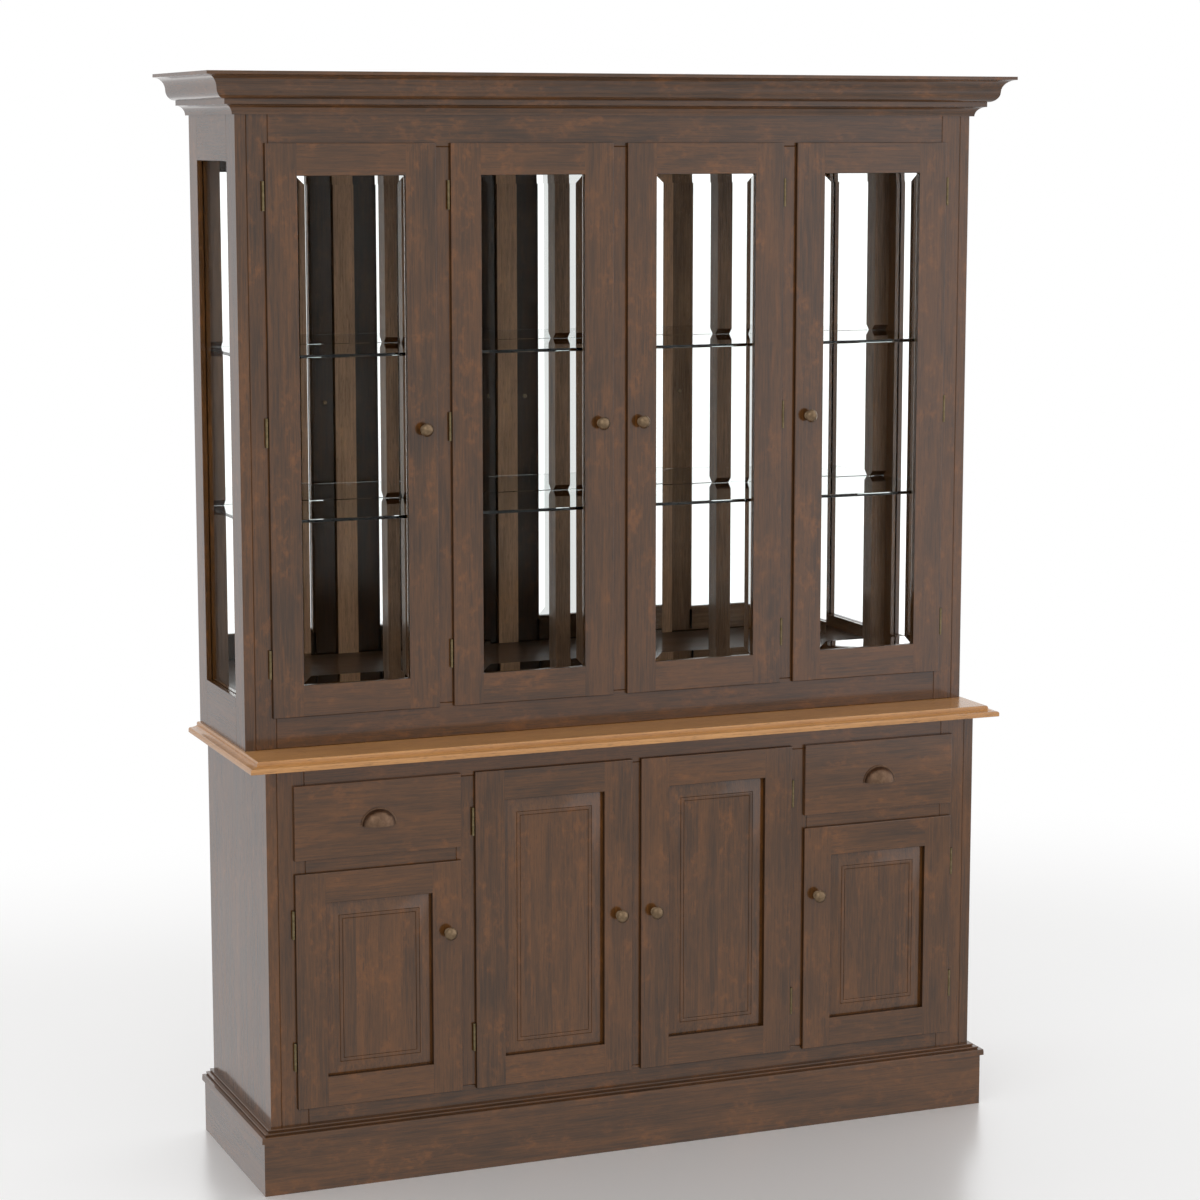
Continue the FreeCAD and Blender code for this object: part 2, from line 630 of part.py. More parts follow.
def make_base_doors():
    recesses = []
    for index, opening in enumerate(BASE_OPENINGS):
        lintel = SIDE_DOOR_LINTEL_Z if index in (0, 3) else BASE_LINTEL_Z
        z = (BASE_FLOOR_Z - OVERLAY_Z, lintel + OVERLAY_Z)
        side = 1 if index < 2 else -1
        recesses += make_door(f"base_door_{index + 1}", base_front_span(index), z, opening,
                              (BASE_FLOOR_Z, lintel), BASE_FACE_Y, side, False, 2, BASE_KNOB_Z)
    return recesses


# ---- drawers -----------------------------------------------------------------------------------
def make_drawer(name, index):
    opening = BASE_OPENINGS[index]
    opening_z = (DRAWER_OPENING_Z, BASE_LINTEL_Z)
    x = base_front_span(index)
    z = (opening_z[0] - OVERLAY_Z, opening_z[1] + OVERLAY_Z)
    front_y = BASE_FACE_Y - DOOR_PROUD
    middle_x = (x[0] + x[1]) / 2
    pull_z = (z[0] + z[1]) / 2 - PULL_DROP
    screw_z = pull_z + PULL_HEIGHT / 3
    back_y = front_y + DOOR_THICK
    front = door_blank(x, z, opening, opening_z, BASE_FACE_Y)
    wall_y = (back_y, back_y + DRAWER_SIDE)
    box_x = (opening[0] + DRAWER_BOX_GAP, opening[1] - DRAWER_BOX_GAP)
    box_z = (opening_z[0] + DRAWER_BOX_GAP, opening_z[0] + DRAWER_BOX_GAP + DRAWER_BOX_HEIGHT)
    box_y = (back_y, BASE_REAR_Y - DRAWER_REAR_GAP)
    in_x = (box_x[0] + DRAWER_SIDE, box_x[1] - DRAWER_SIDE)
    walls = [box((box_x[0], in_x[0]), box_y, box_z), box((in_x[1], box_x[1]), box_y, box_z),
             box(in_x, wall_y, box_z), box(in_x, (box_y[1] - DRAWER_SIDE, box_y[1]), box_z)]
    bottom_z = (box_z[0] + DRAWER_BOTTOM_RISE, box_z[0] + DRAWER_BOTTOM_RISE
                + DRAWER_BOTTOM_THICK)
    bottom = box((in_x[0] - DRAWER_GROOVE, in_x[1] + DRAWER_GROOVE),
                 (wall_y[1] - DRAWER_GROOVE, box_y[1] - DRAWER_SIDE + DRAWER_GROOVE), bottom_z)
    walls = [wall.cut(bottom) for wall in walls]
    screws = []
    for screw_x in pull_screw_places(middle_x):
        hole = screw_hole(screw_x, screw_z, front_y, wall_y[1])
        front = front.cut(hole)
        walls[2] = walls[2].cut(hole)
        shank = rod(SCREW_RADIUS, (screw_x, wall_y[1], screw_z), (0, -1, 0),
                    wall_y[1] - front_y + SCREW_BITE / 2)
        head = rod(SCREW_HEAD_RADIUS, (screw_x, wall_y[1], screw_z), (0, 1, 0), SCREW_HEAD_THICK)
        screws.append(shank.fuse(head).removeSplitter())
    add(name + "_front", front)
    add(name + "_box", *(walls + [bottom]))
    add(name + "_pull", cup_pull(middle_x, pull_z, front_y), *screws)
    make_runners(index, box_x, box_z[0])


def make_runners(index, box_x, box_bottom):
    """Ledges under the drawer's sides and guides beside them, between the carcass walls."""
    partition = PARTITION_X + SHEET_THICK / 2
    walls = (-BASE_INNER, -partition) if index == 0 else (partition, BASE_INNER)
    y = (BASE_FRAME_BACK_Y, BASE_REAR_Y)
    top = box_bottom - SLIDE_GAP
    ledge_z = (top - RUNNER_THICK, top)
    guide_z = (top, top + GUIDE_HEIGHT)
    add("drawer_runners",
        box((walls[0], box_x[0] + DRAWER_SIDE), y, ledge_z),
        box((walls[0], box_x[0] - SLIDE_GAP), y, guide_z),
        box((box_x[1] - DRAWER_SIDE, walls[1]), y, ledge_z),
        box((box_x[1] + SLIDE_GAP, walls[1]), y, guide_z))


# ---- face frames -------------------------------------------------------------------------------
def frame_members(openings, half, stile, z, lintel, sill, bottom, face_y):
    """Stiles, top and bottom rails and mullions of a face frame."""
    y = (face_y, face_y + FRAME_THICK)
    inner = half - stile
    members = [box((-half, -inner), y, z), box((inner, half), y, z),
               box((-inner, inner), y, (lintel, z[1])), box((-inner, inner), y, (bottom, sill))]
    for left, right in zip(openings, openings[1:]):
        members.append(box((left[1], right[0]), y, (sill, lintel)))
    return [eased(member, face_y) for member in members]


def make_hutch_frame(recesses, pins):
    members = frame_members(HUTCH_OPENINGS, HUTCH_INNER, HUTCH_STILE,
                            (COUNTER_TOP_Z, HUTCH_TOP_Z), HUTCH_LINTEL_Z, HUTCH_FLOOR_Z,
                            COUNTER_TOP_Z, HUTCH_FACE_Y)
    stiles_and_mullions = members[:2] + members[4:]
    rails = members[2:4]
    add("hutch_face_frame", *[cut_all(member, recesses + pins)
                              for member in stiles_and_mullions], *rails)


def make_base_frame(recesses):
    members = frame_members(BASE_OPENINGS, BASE_INNER, BASE_STILE, (0, COUNTER_BOTTOM_Z),
                            BASE_LINTEL_Z, BASE_FLOOR_Z, BASE_FLOOR_Z - BASE_BOTTOM_RAIL,
                            BASE_FACE_Y)
    y = (BASE_FACE_Y, BASE_FRAME_BACK_Y)
    middle = [eased(box(BASE_OPENINGS[index], y, (SIDE_DOOR_LINTEL_Z, DRAWER_OPENING_Z)),
                    BASE_FACE_Y) for index in (0, 3)]
    stiles_and_mullions = members[:2] + members[4:]
    rails = members[2:4] + middle
    add("base_face_frame", *[cut_all(member, recesses) for member in stiles_and_mullions],
        *rails)


# ---- hutch carcass -----------------------------------------------------------------------------
def side_window():
    y = (HUTCH_FACE_Y + WINDOW_FRONT_STILE, BACK_Y - WINDOW_BACK_STILE)
    z = (COUNTER_TOP_Z + WINDOW_BOTTOM_RAIL, CORNICE_Z - WINDOW_TOP_RAIL)
    return y, z


def make_hutch_side(side, pin_holes):
    """Side frame with its window, the pane and the beads that hold it from inside."""
    window_y, window_z = side_window()
    outer = side * HUTCH_HALF
    x = span(outer, -side, SIDE_THICK)
    z = (COUNTER_TOP_Z, HUTCH_TOP_Z)
    front = eased(box(x, (HUTCH_FACE_Y, window_y[0]), z), HUTCH_FACE_Y)
    members = [front, box(x, (window_y[1], BACK_Y), z),
               box(x, window_y, (z[0], window_z[0])), box(x, window_y, (window_z[1], z[1]))]
    wide_y = (window_y[0] - REBATE_WIDTH, window_y[1] + REBATE_WIDTH)
    wide_z = (window_z[0] - REBATE_WIDTH, window_z[1] + REBATE_WIDTH)
    seat = outer - side * GLASS_SEAT_DEPTH
    rebate = box(span(seat, -side, SIDE_THICK), wide_y, wide_z)
    members = [cut_all(member, [rebate] + pin_holes) for member in members]
    edge = REBATE_WIDTH - GLASS_EDGE_GAP
    pane = box(span(seat, -side, SIDE_GLASS_THICK), (window_y[0] - edge, window_y[1] + edge),
               (window_z[0] - edge, window_z[1] + edge))
    bead_start = seat - side * SIDE_GLASS_THICK
    bead_x = span(bead_start, -side, SIDE_THICK - GLASS_SEAT_DEPTH - SIDE_GLASS_THICK)
    beads = [box(bead_x, (wide_y[0], window_y[0]), wide_z),
             box(bead_x, (window_y[1], wide_y[1]), wide_z),
             box(bead_x, window_y, (wide_z[0], window_z[0])),
             box(bead_x, window_y, (window_z[1], wide_z[1]))]
    add("hutch_sides", *(members + beads))
    add("hutch_side_glass", pane)


def post_places():
    """Left and right of the five back posts: behind the mullions and in both corners."""
    middles = [(left[1] + right[0]) / 2 for left, right in zip(HUTCH_OPENINGS,
                                                              HUTCH_OPENINGS[1:])]
    corner = HUTCH_INNER - POST_WIDTH / 2
    return [(middle - POST_WIDTH / 2, middle + POST_WIDTH / 2)
            for middle in [-corner] + middles + [corner]]


def hutch_shelf_middles():
    return [HUTCH_FLOOR_Z + height for height in GLASS_SHELF_HEIGHTS]


def make_back_posts():
    """Posts in front of the mirror, with a V notch that holds each glass shelf's back edge."""
    y = (POST_FACE_Y, MIRROR_FACE_Y)
    for x in post_places():
        post = box(x, y, (HUTCH_FLOOR_Z, HUTCH_TOP_Z - SHEET_THICK))
        for middle in hutch_shelf_middles():
            outline = [(POST_FACE_Y, middle - NOTCH_HALF_HEIGHT),
                       (POST_FACE_Y + NOTCH_DEPTH, middle),
                       (POST_FACE_Y, middle + NOTCH_HALF_HEIGHT)]
            notch = face_from(outline, lambda y, z: Vec(x[0] - 1, y, z))
            post = post.cut(notch.extrude(Vec(POST_WIDTH + 2, 0, 0)))
        add("hutch_back_posts", post)


def make_glass_shelves():
    held = NOTCH_DEPTH * (1 - GLASS_SHELF_THICK / 2 / NOTCH_HALF_HEIGHT)
    y = (HUTCH_FRAME_BACK_Y + GLASS_SHELF_FRONT_GAP, POST_FACE_Y + held)
    half = HUTCH_INNER - GLASS_SHELF_END_GAP
    for middle in hutch_shelf_middles():
        z = (middle - GLASS_SHELF_THICK / 2, middle + GLASS_SHELF_THICK / 2)
        add("hutch_glass_shelves", box((-half, half), y, z))


def hutch_shelf_pins():
    """Pegs under the front edge of each glass shelf: one per mullion and one per side."""
    pins = []
    holes = []
    for middle in hutch_shelf_middles():
        z = middle - GLASS_SHELF_THICK / 2 - PIN_RADIUS
        for left, right in zip(HUTCH_OPENINGS, HUTCH_OPENINGS[1:]):
            start = ((left[1] + right[0]) / 2, HUTCH_FRAME_BACK_Y - PIN_BITE, z)
            pins.append(rod(PIN_RADIUS, start, (0, 1, 0), PIN_BITE + SHELF_PIN_REACH))
            holes.append(rod(PIN_RADIUS + FIT_GAP, start, (0, 1, 0), FRAME_THICK))
        for side in (-1, 1):
            y = HUTCH_FRAME_BACK_Y + SHELF_PIN_REACH
            start = (side * (HUTCH_INNER + PIN_BITE), y, z)
            pins.append(rod(PIN_RADIUS, start, (-side, 0, 0), PIN_BITE + PIN_LENGTH))
            holes.append(rod(PIN_RADIUS + FIT_GAP, start, (-side, 0, 0), SIDE_THICK))
    return pins, holes


def make_hutch_carcass(pin_holes):
    for side in (-1, 1):
        make_hutch_side(side, pin_holes)
    inner = (-HUTCH_INNER, HUTCH_INNER)
    depth = (HUTCH_FRAME_BACK_Y, MIRROR_BACK_Y)
    add("hutch_floor_and_top", box(inner, depth, (HUTCH_FLOOR_Z - SHEET_THICK, HUTCH_FLOOR_Z)),
        box(inner, depth, (HUTCH_TOP_Z - SHEET_THICK, HUTCH_TOP_Z)))
    add("hutch_back", box(inner, (MIRROR_BACK_Y, BACK_Y), (COUNTER_TOP_Z, HUTCH_TOP_Z)))
    joints = [(x[0] + x[1]) / 2 for x in post_places()[1:-1]]
    edges = [-HUTCH_INNER - MIRROR_JOINT / 2] + joints + [HUTCH_INNER + MIRROR_JOINT / 2]
    for left, right in zip(edges, edges[1:]):
        add("hutch_mirror", box((left + MIRROR_JOINT / 2, right - MIRROR_JOINT / 2),
                                (MIRROR_FACE_Y, MIRROR_BACK_Y),
                                (HUTCH_FLOOR_Z, HUTCH_TOP_Z - SHEET_THICK)))
    make_back_posts()
    make_glass_shelves()


# ---- mouldings and counter ---------------------------------------------------------------------
def cornice_path():
    out = CORNICE_FOOT
    z = CORNICE_Z
    path = [(0, z), (out, z)]
    centre = (out + CORNICE_SMALL_COVE, z)
    out, z = centre[0], z + CORNICE_SMALL_COVE
    path.append((quarter(centre, CORNICE_SMALL_COVE, (-1, 1)), (out, z)))
    z += CORNICE_FILLET
    path.append((out, z))
    centre = (out, z + CORNICE_ROUND)
    out, z = out + CORNICE_ROUND, centre[1]
    path.append((quarter(centre, CORNICE_ROUND, (1, -1)), (out, z)))
    centre = (out + CORNICE_LARGE_COVE, z)
    out, z = centre[0], z + CORNICE_LARGE_COVE
    path.append((quarter(centre, CORNICE_LARGE_COVE, (-1, 1)), (out, z)))
    return path + [(out, z + CORNICE_LIP), (0, z + CORNICE_LIP)]


def plinth_mould_path():
    bead_run = (MOULD_OVERHANG - MOULD_FASCIA_RUN) / MOULD_BEADS
    bead_rise = (MOULD_HEIGHT - MOULD_FASCIA_RISE) / MOULD_BEADS
    start = (MOULD_OVERHANG, PLINTH_HEIGHT)
    end = (start[0] - MOULD_FASCIA_RUN, start[1] + MOULD_FASCIA_RISE)
    path = [(0, PLINTH_HEIGHT), start, bowed(start, end, MOULD_BULGE)]
    for _ in range(MOULD_BEADS):
        start = (end[0] - MOULD_QUIRK, end[1])
        end = (end[0] - bead_run, end[1] + bead_rise)
        path += [start, bowed(start, end, MOULD_BULGE)]
    return path


def counter_path():
    out = COUNTER_OVERHANG
    low = COUNTER_BOTTOM_Z
    high = COUNTER_TOP_Z
    ease = COUNTER_EASE
    nose = COUNTER_NOSE
    turn = COUNTER_STEP_ROUND
    hollow = (out - nose, high - COUNTER_STEP_RISE - COUNTER_HOLLOW_RISE)
    step = (out - COUNTER_STEP_INSET, high - COUNTER_STEP_RISE)
    return [(0, low), (out - ease, low),
            (quarter((out - ease, low + ease), ease, (1, -1)), (out, low + ease)),
            (out, hollow[1] - nose), (quarter((hollow[0], hollow[1] - nose), nose, (1, 1)), hollow),
            bowed(hollow, step, -COUNTER_HOLLOW_SAG), (step[0], high - turn),
            (quarter((step[0] - turn, high - turn), turn, (1, 1)), (step[0] - turn, high)),
            (0, high)]


def plinth_path():
    ease = BOARD_ROUND
    return [(0, 0), (PLINTH_THICK, 0), (PLINTH_THICK, PLINTH_HEIGHT - ease),
            (PLINTH_THICK - ease, PLINTH_HEIGHT), (0, PLINTH_HEIGHT)]


# ---- base carcass ------------------------------------------------------------------------------
def base_shelves():
    """Clear width and top height of the shelf in each of the three cupboards."""
    inside = PARTITION_X - SHEET_THICK / 2
    outside = PARTITION_X + SHEET_THICK / 2
    side_z = BASE_FLOOR_Z + SIDE_SHELF_RISE
    centre_z = BASE_FLOOR_Z + CENTRE_SHELF_RISE
    return [((-BASE_INNER, -outside), side_z), ((-inside, inside), centre_z),
            ((outside, BASE_INNER), side_z)]


def make_base_shelves():
    """Shelves, their pegs and the holes for the pegs."""
    y = (BASE_FRAME_BACK_Y + SHELF_SETBACK, BASE_REAR_Y - SHELF_END_GAP)
    pins = []
    holes = []
    for (left, right), top in base_shelves():
        add("base_shelves", box((left + SHELF_END_GAP, right - SHELF_END_GAP), y,
                                (top - SHEET_THICK, top)))
        z = top - SHEET_THICK - PIN_RADIUS
        for pin_y in (y[0] + SHELF_PIN_INSET, y[1] - SHELF_PIN_INSET):
            for wall, way in ((left, 1), (right, -1)):
                start = (wall - way * PIN_BITE, pin_y, z)
                pins.append(rod(PIN_RADIUS, start, (way, 0, 0), PIN_BITE + PIN_LENGTH))
                holes.append(rod(PIN_RADIUS + FIT_GAP, start, (way, 0, 0), PIN_BITE))
    return pins, holes


def make_base_carcass(pin_holes):
    wall_z = (0, COUNTER_BOTTOM_Z)
    for side in (-1, 1):
        board = box(span(side * BASE_HALF, -side, SIDE_THICK), (BASE_FACE_Y, BACK_Y), wall_z)
        add("base_sides", cut_all(eased(board, BASE_FACE_Y), pin_holes))
        middle = side * PARTITION_X
        partition = box((middle - SHEET_THICK / 2, middle + SHEET_THICK / 2),
                        (BASE_FRAME_BACK_Y, BASE_REAR_Y), (BASE_FLOOR_Z, COUNTER_BOTTOM_Z))
        add("base_floor_and_partitions", cut_all(partition, pin_holes))
    inner = (-BASE_INNER, BASE_INNER)
    add("base_floor_and_partitions", box(inner, (BASE_FRAME_BACK_Y, BASE_REAR_Y),
                                         (BASE_FLOOR_Z - SHEET_THICK, BASE_FLOOR_Z)))
    add("base_back", box(inner, (BASE_REAR_Y, BACK_Y), (PLINTH_HEIGHT, COUNTER_BOTTOM_Z)))


def make_mouldings():
    add("counter_top", moulded_block(counter_path(), BASE_HALF, BASE_FACE_Y))
    add("cornice", *mitred_ring(cornice_path(), HUTCH_HALF, HUTCH_FACE_Y))
    add("plinth_boards", *mitred_ring(plinth_path(), BASE_HALF, BASE_FACE_Y))
    add("plinth_mould", *mitred_ring(plinth_mould_path(), BASE_HALF, BASE_FACE_Y))


def main():
    hutch_recesses = make_hutch_doors()
    base_recesses = make_base_doors()
    make_drawer("drawer_left", 0)
    make_drawer("drawer_right", 3)
    hutch_pins, hutch_pin_holes = hutch_shelf_pins()
    base_pins, base_pin_holes = make_base_shelves()
    add("hutch_shelf_pins", *hutch_pins)
    add("base_shelf_pins", *base_pins)
    make_hutch_frame(hutch_recesses, hutch_pin_holes)
    make_base_frame(base_recesses)
    make_hutch_carcass(hutch_pin_holes)
    make_base_carcass(base_pin_holes)
    make_mouldings()
    for name, solids in parts.items():
        shape = solids[0] if len(solids) == 1 else Part.makeCompound(solids)
        shape.exportStep(f"parts/{name}.step")
    print(len(parts), "nodes,", sum(len(solids) for solids in parts.values()), "solids")


main()
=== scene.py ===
import json
from math import atan, cos, pi, radians, sin

import bpy
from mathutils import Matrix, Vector


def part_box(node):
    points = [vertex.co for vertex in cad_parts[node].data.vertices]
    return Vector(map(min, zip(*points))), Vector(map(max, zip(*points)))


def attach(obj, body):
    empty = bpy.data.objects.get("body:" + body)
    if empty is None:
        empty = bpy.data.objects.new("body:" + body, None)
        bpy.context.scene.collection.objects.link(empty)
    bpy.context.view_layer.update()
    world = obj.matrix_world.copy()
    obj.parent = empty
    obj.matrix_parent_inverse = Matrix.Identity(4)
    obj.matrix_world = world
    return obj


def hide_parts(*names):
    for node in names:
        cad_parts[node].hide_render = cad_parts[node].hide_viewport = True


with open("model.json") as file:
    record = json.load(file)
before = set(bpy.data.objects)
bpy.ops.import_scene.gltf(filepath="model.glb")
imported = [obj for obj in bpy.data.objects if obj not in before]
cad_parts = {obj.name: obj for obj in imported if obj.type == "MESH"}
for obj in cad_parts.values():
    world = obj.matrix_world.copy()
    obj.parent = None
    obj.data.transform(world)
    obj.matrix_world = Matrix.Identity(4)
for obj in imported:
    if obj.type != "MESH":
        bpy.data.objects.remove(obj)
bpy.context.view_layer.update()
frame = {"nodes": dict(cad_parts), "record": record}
nodes = frame["nodes"]
bodies = frame["record"]["behaviour"]["bodies"]

# Looks for a dresser with a glazed hutch, in metres.  +Z is up and the front faces -Y.
# Doors, face frames, side frames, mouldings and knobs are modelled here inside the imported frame;
# the other pieces keep their shape and get a finish.

# ---- doors -------------------------------------------------------------------------------------
DOOR_THICK = 0.019
LIP_THICK = 0.0075
OPENING_GAP = 0.002
OVERLAY_X = 0.0075
OVERLAY_Z = 0.0068
OUTER_OVERLAY = 0.0215
HUTCH_DOOR_STILE = 0.0585
BASE_DOOR_STILE = 0.0575
GLASS_SEAT = 0.009             # from the front of a door or side frame to the rebate's face
GLASS_RIM = 0.003              # from that face to the back of the pane
REBATE = 0.007
PANE_BEVEL = 0.016
PANE_BEVEL_RISE = 0.0032
BEAD_THICK = 0.006             # glazing bead
PANEL_RIM = 0.008              # part of a panel that stands in the grooves of its frame
PANEL_DEPTH = 0.0095           # panel's edge behind the door's face
PANEL_SLOPE = 0.0247
PANEL_FIELD_DEPTH = 0.0038
PANEL_QUIRK = 0.0006           # half the width of the fine groove on each side of the bead
PANEL_QUIRK_DEPTH = 0.0009
PANEL_BEAD = 0.0056
PANEL_BEAD_RISE = 0.0004
DOOR_EASE = 0.0018             # rounding of a door's outer front edges
INNER_EASE = 0.0008            # rounding of edges round a pane, a panel or a window
BEAD_EASE = 3 * INNER_EASE
WINDOW_SIDE_DOOR = "hutch_door_4"  # its back gets painted light, for the light from the side window that falls on it

# ---- face frames, side frames and mouldings ----------------------------------------------------
FRAME_THICK = 0.020
FRAME_EASE = 0.0012            # chamfer that makes the fine V between frame members
SIDE_THICK = 0.0205
SIDE_GLASS_THICK = 0.004
HUTCH_STILE = 0.0395
HUTCH_MULLION = 0.043
HUTCH_BOTTOM_RAIL = 0.0645
HUTCH_TOP_RAIL = 0.057
BASE_STILE = 0.0515
BASE_MULLION = 0.043
CENTRE_MULLION = 0.033
SIDE_OPENING_WIDTH = 0.2917
BASE_TOP_RAIL = 0.040
BASE_BOTTOM_RAIL = 0.100
BASE_FLOOR_Z = 0.160
MIDDLE_RAIL = 0.039
DRAWER_OPENING_HEIGHT = 0.1255
WINDOW_FRONT_STILE = 0.0605
WINDOW_BACK_STILE = 0.055
WINDOW_BOTTOM_RAIL = 0.090
WINDOW_TOP_RAIL = 0.0825
CORNICE_FOOT = 0.0065
CORNICE_SMALL_COVE = 0.018
CORNICE_FILLET = 0.009
CORNICE_ROUND = 0.019
CORNICE_LARGE_COVE = 0.0235
CORNICE_LIP = 0.006
PLINTH_HEIGHT = 0.1015
PLINTH_THICK = 0.0187
PLINTH_EASE = 0.0015
MOULD_HEIGHT = 0.021
MOULD_OVERHANG = 0.0243
MOULD_FASCIA_RISE = 0.0115
MOULD_FASCIA_RUN = 0.0008
MOULD_BEADS = 2
MOULD_QUIRK = 0.001
MOULD_BULGE = 0.0003
MITRE_SPARE = 0.01             # length that the saw takes off at a mitre
ARC_STEPS = 8
EASE_STEPS = 3
SAME_PLACE = 1e-5              # an edge this near a plane lies in it
MERGE_WITHIN = 1e-6
NORMAL_WEIGHT = 100            # shading follows the large faces
# a face is a front or a back where its normal's Y reaches FACING, and an edge where that stays
# below EDGE_FACING, or where it points down by more than ROUNDING_DROP, as under a rounding
FACING = 0.9
EDGE_FACING = 0.1
ROUNDING_DROP = -0.3

# ---- knobs -------------------------------------------------------------------------------------
KNOB_RADIUS = 0.0125
KNOB_PROJECTION = 0.024
KNOB_HEAD_HEIGHT = 0.012
KNOB_CROWN_HEIGHT = 0.0075
KNOB_SWELL = 0.0019
KNOB_FLANGE_RADIUS = 0.008
KNOB_FLANGE_THICK = 0.0016
KNOB_NECK_RADIUS = 0.005
SCREW_RADIUS = 0.002
SCREW_HEAD_RADIUS = 0.0045
SCREW_CROWN = 0.7              # flat share of the head's radius
SCREW_HEAD_THICK = 0.002
LATHE_STEPS = 40

# ---- wood --------------------------------------------------------------------------------------
GRAIN_TURN = {"upright": (0, pi / 2, 0), "level": (0, 0, 0), "deep": (0, 0, pi / 2)}
LACQUER_INDEX = 1.55
LACQUER_SPECULAR = 0.12        # of the wood under the lacquer
STAVE_WIDTH = 0.043            # glued-up strips of a panel
STAVE_STEP = 1.37              # from the grain of one stave to the next
BOARD_SHIFT = (3.71, 1.93, 2.57)  # from the grain of one board to the next
NOTCH_SLOPE = 0.3              # part of a normal that points up or down, above which a post's face gets painted shade, as in a notch of a post
# colour multiplied into those faces as painted shade
NOTCH_SHADE = (0.31, 0.18, 0.07)
# each noise: cells per metre along and across the grain, detail, roughness, distortion
GRAIN_NOISES = {
    "figure": (2.2, 26.0, 4.0, 0.6, 0.6),
    "streaks": (9.0, 210.0, 3.0, 0.65, 0.0),
    "hairs": (14.0, 480.0, 2.0, 0.6, 0.0),
    "pores": (55.0, 760.0, 2.0, 0.5, 0.0),
    "clouds": (8.0, 15.0, 3.0, 0.55, 0.1),
    "patches": (38.0, 62.0, 5.0, 0.68, 0.1),
    "flecks": (9.0, 85.0, 2.0, 0.5, 0.0),
    "sheen": (6.0, 20.0, 3.0, 0.55, 0.0)}
PORE_COLOR = (0.018, 0.009, 0.004)
# dark, middle and blotch colour of each stain
STAIN = ((0.038, 0.0158, 0.0036), (0.119, 0.0450, 0.0093), (0.196, 0.067, 0.0110))
# darker copies of the stain as painted shade: SHADE for the backs of the hutch doors, EDGE for the
# edges of boards
SHADE = [tuple(0.40 * part for part in color) for color in STAIN]
EDGE = [tuple(0.45 * part for part in color) for color in STAIN]
POST = ((0.080, 0.045, 0.026), (0.205, 0.115, 0.067), (0.25, 0.125, 0.062))
# lighter copies of the stain as painted light: GLOW for the back of the door by the side window,
# LIT for the back of the hutch's face frame
GLOW = ((0.12, 0.062, 0.033), (0.30, 0.17, 0.095), (0.34, 0.165, 0.080))
LIT = ((0.32, 0.18, 0.105), (0.66, 0.38, 0.225), (0.72, 0.38, 0.19))
HONEY = ((0.40, 0.180, 0.052), (0.57, 0.28, 0.090), (0.63, 0.30, 0.09))
PALE = ((0.46, 0.31, 0.17), (0.66, 0.49, 0.30), (0.60, 0.38, 0.20))
# painted shade on the edges of boards and on the backs of the hutch doors, and painted light on the
# back of the one by the side window and on the back of the hutch's face frame: each a finish for
# upright and one for level grain
PAINTED_LIGHT_AND_SHADE = {
    "edge": ("stained_wood_edge_shade", EDGE, {"coat": 0.3}),
    "shade": ("stained_wood_door_back_shade", SHADE, {"coat": 0.5, "coat_rough": 0.2}),
    "glow": ("stained_wood_back_painted_light", GLOW, {}),
    "lit": ("stained_wood_frame_back_painted_light", LIT, {"coat": 0.3})}

# ---- glass -------------------------------------------------------------------------------------
GLASS_INDEX = 1.5
SIDE_GLASS_INDEX = 1.02        # thin panes hardly shift what stands behind them
GLASS_SHADOW = (0.93, 0.95, 0.94, 1)  # colour of the light that falls through a pane
GLASS_CLOUD = 0.97             # share of the tint that a pane's duller patches keep

# ---- the camera, at eye height in front of the left corner -------------------------------------
CAMERA_PLACE = (-2.21725, -5.47734, 1.92495)
CAMERA_PITCH = radians(-8.53)
CAMERA_TURN = radians(-22.05)
HALF_PICTURE = 600
FOCAL_LENGTH = 3087.56         # in pixels, as half the picture is
CAMERA_FIELD = 2 * atan(HALF_PICTURE / FOCAL_LENGTH)
CAMERA_REACH = 100

# ---- floor, light and the room that reflections show -------------------------------------------
FLOOR_RADIUS = 4.0
FLOOR_SIDES = 96
FLOOR_FADE = (1.0, 2.5)        # how far from the dresser the floor turns white
FLOOR_COLOR = (0.93, 0.925, 0.92, 1)
FLOOR_GLOSS = 0.42
FLOOR_GLOSS_ROUGH = 0.28
MIRRORED_FADE = 0.8            # share of white in the floor that reflections show
HALF_WIDTH = 0.76              # footprint from which the floor's fade is measured
HALF_DEPTH = 0.22
AMBIENT = 0.9
LAMP_PLACE = (-2.5, -3.5, 4.0)
LAMP_TARGET = (0, 0, 1.0)
LAMP_SIZE = 3.0
LAMP_POWER = 25
# bearings count from straight in front towards +X, heights are the Z of a direction
ROOM_LEFT = (radians(-75), radians(-45))
ROOM_RIGHT = (radians(21.5), radians(28))
ROOM_RISE = (-0.30, -0.12)
ROOM_REAR = (radians(100), radians(130))
ROOM_COLOR = (0.86, 0.86, 0.87)
WINDOW_COLOR = (1.33, 1.33, 1.38)
MIRRORED_WHITE = (0.70, 0.70, 0.71)
# a pane shows the white behind it at VIEW_DIM between the first two bearings, and with GLARE
# added outside the second two
VIEW_DIM = 0.88
GLARE = 0.55
DIM_BEARINGS = (radians(16.1), radians(21.9))
BRIGHT_BEARINGS = (radians(15.5), radians(22.6))


# ==== modelling helpers =========================================================================
def deselect():
    bpy.ops.object.select_all(action="DESELECT")


def select_only(piece):
    deselect()
    piece.select_set(True)
    bpy.context.view_layer.objects.active = piece


def edge_mode(piece, chosen):
    """Enters edit mode with only the edges selected that chosen(end, end) picks."""
    select_only(piece)
    bpy.ops.object.mode_set(mode="EDIT")
    bpy.ops.mesh.select_mode(type="EDGE")
    bpy.ops.mesh.select_all(action="DESELECT")
    bpy.ops.object.mode_set(mode="OBJECT")
    points = piece.data.vertices
    for edge in piece.data.edges:
        start, end = edge.vertices
        edge.select = chosen(points[start].co, points[end].co)
    bpy.ops.object.mode_set(mode="EDIT")


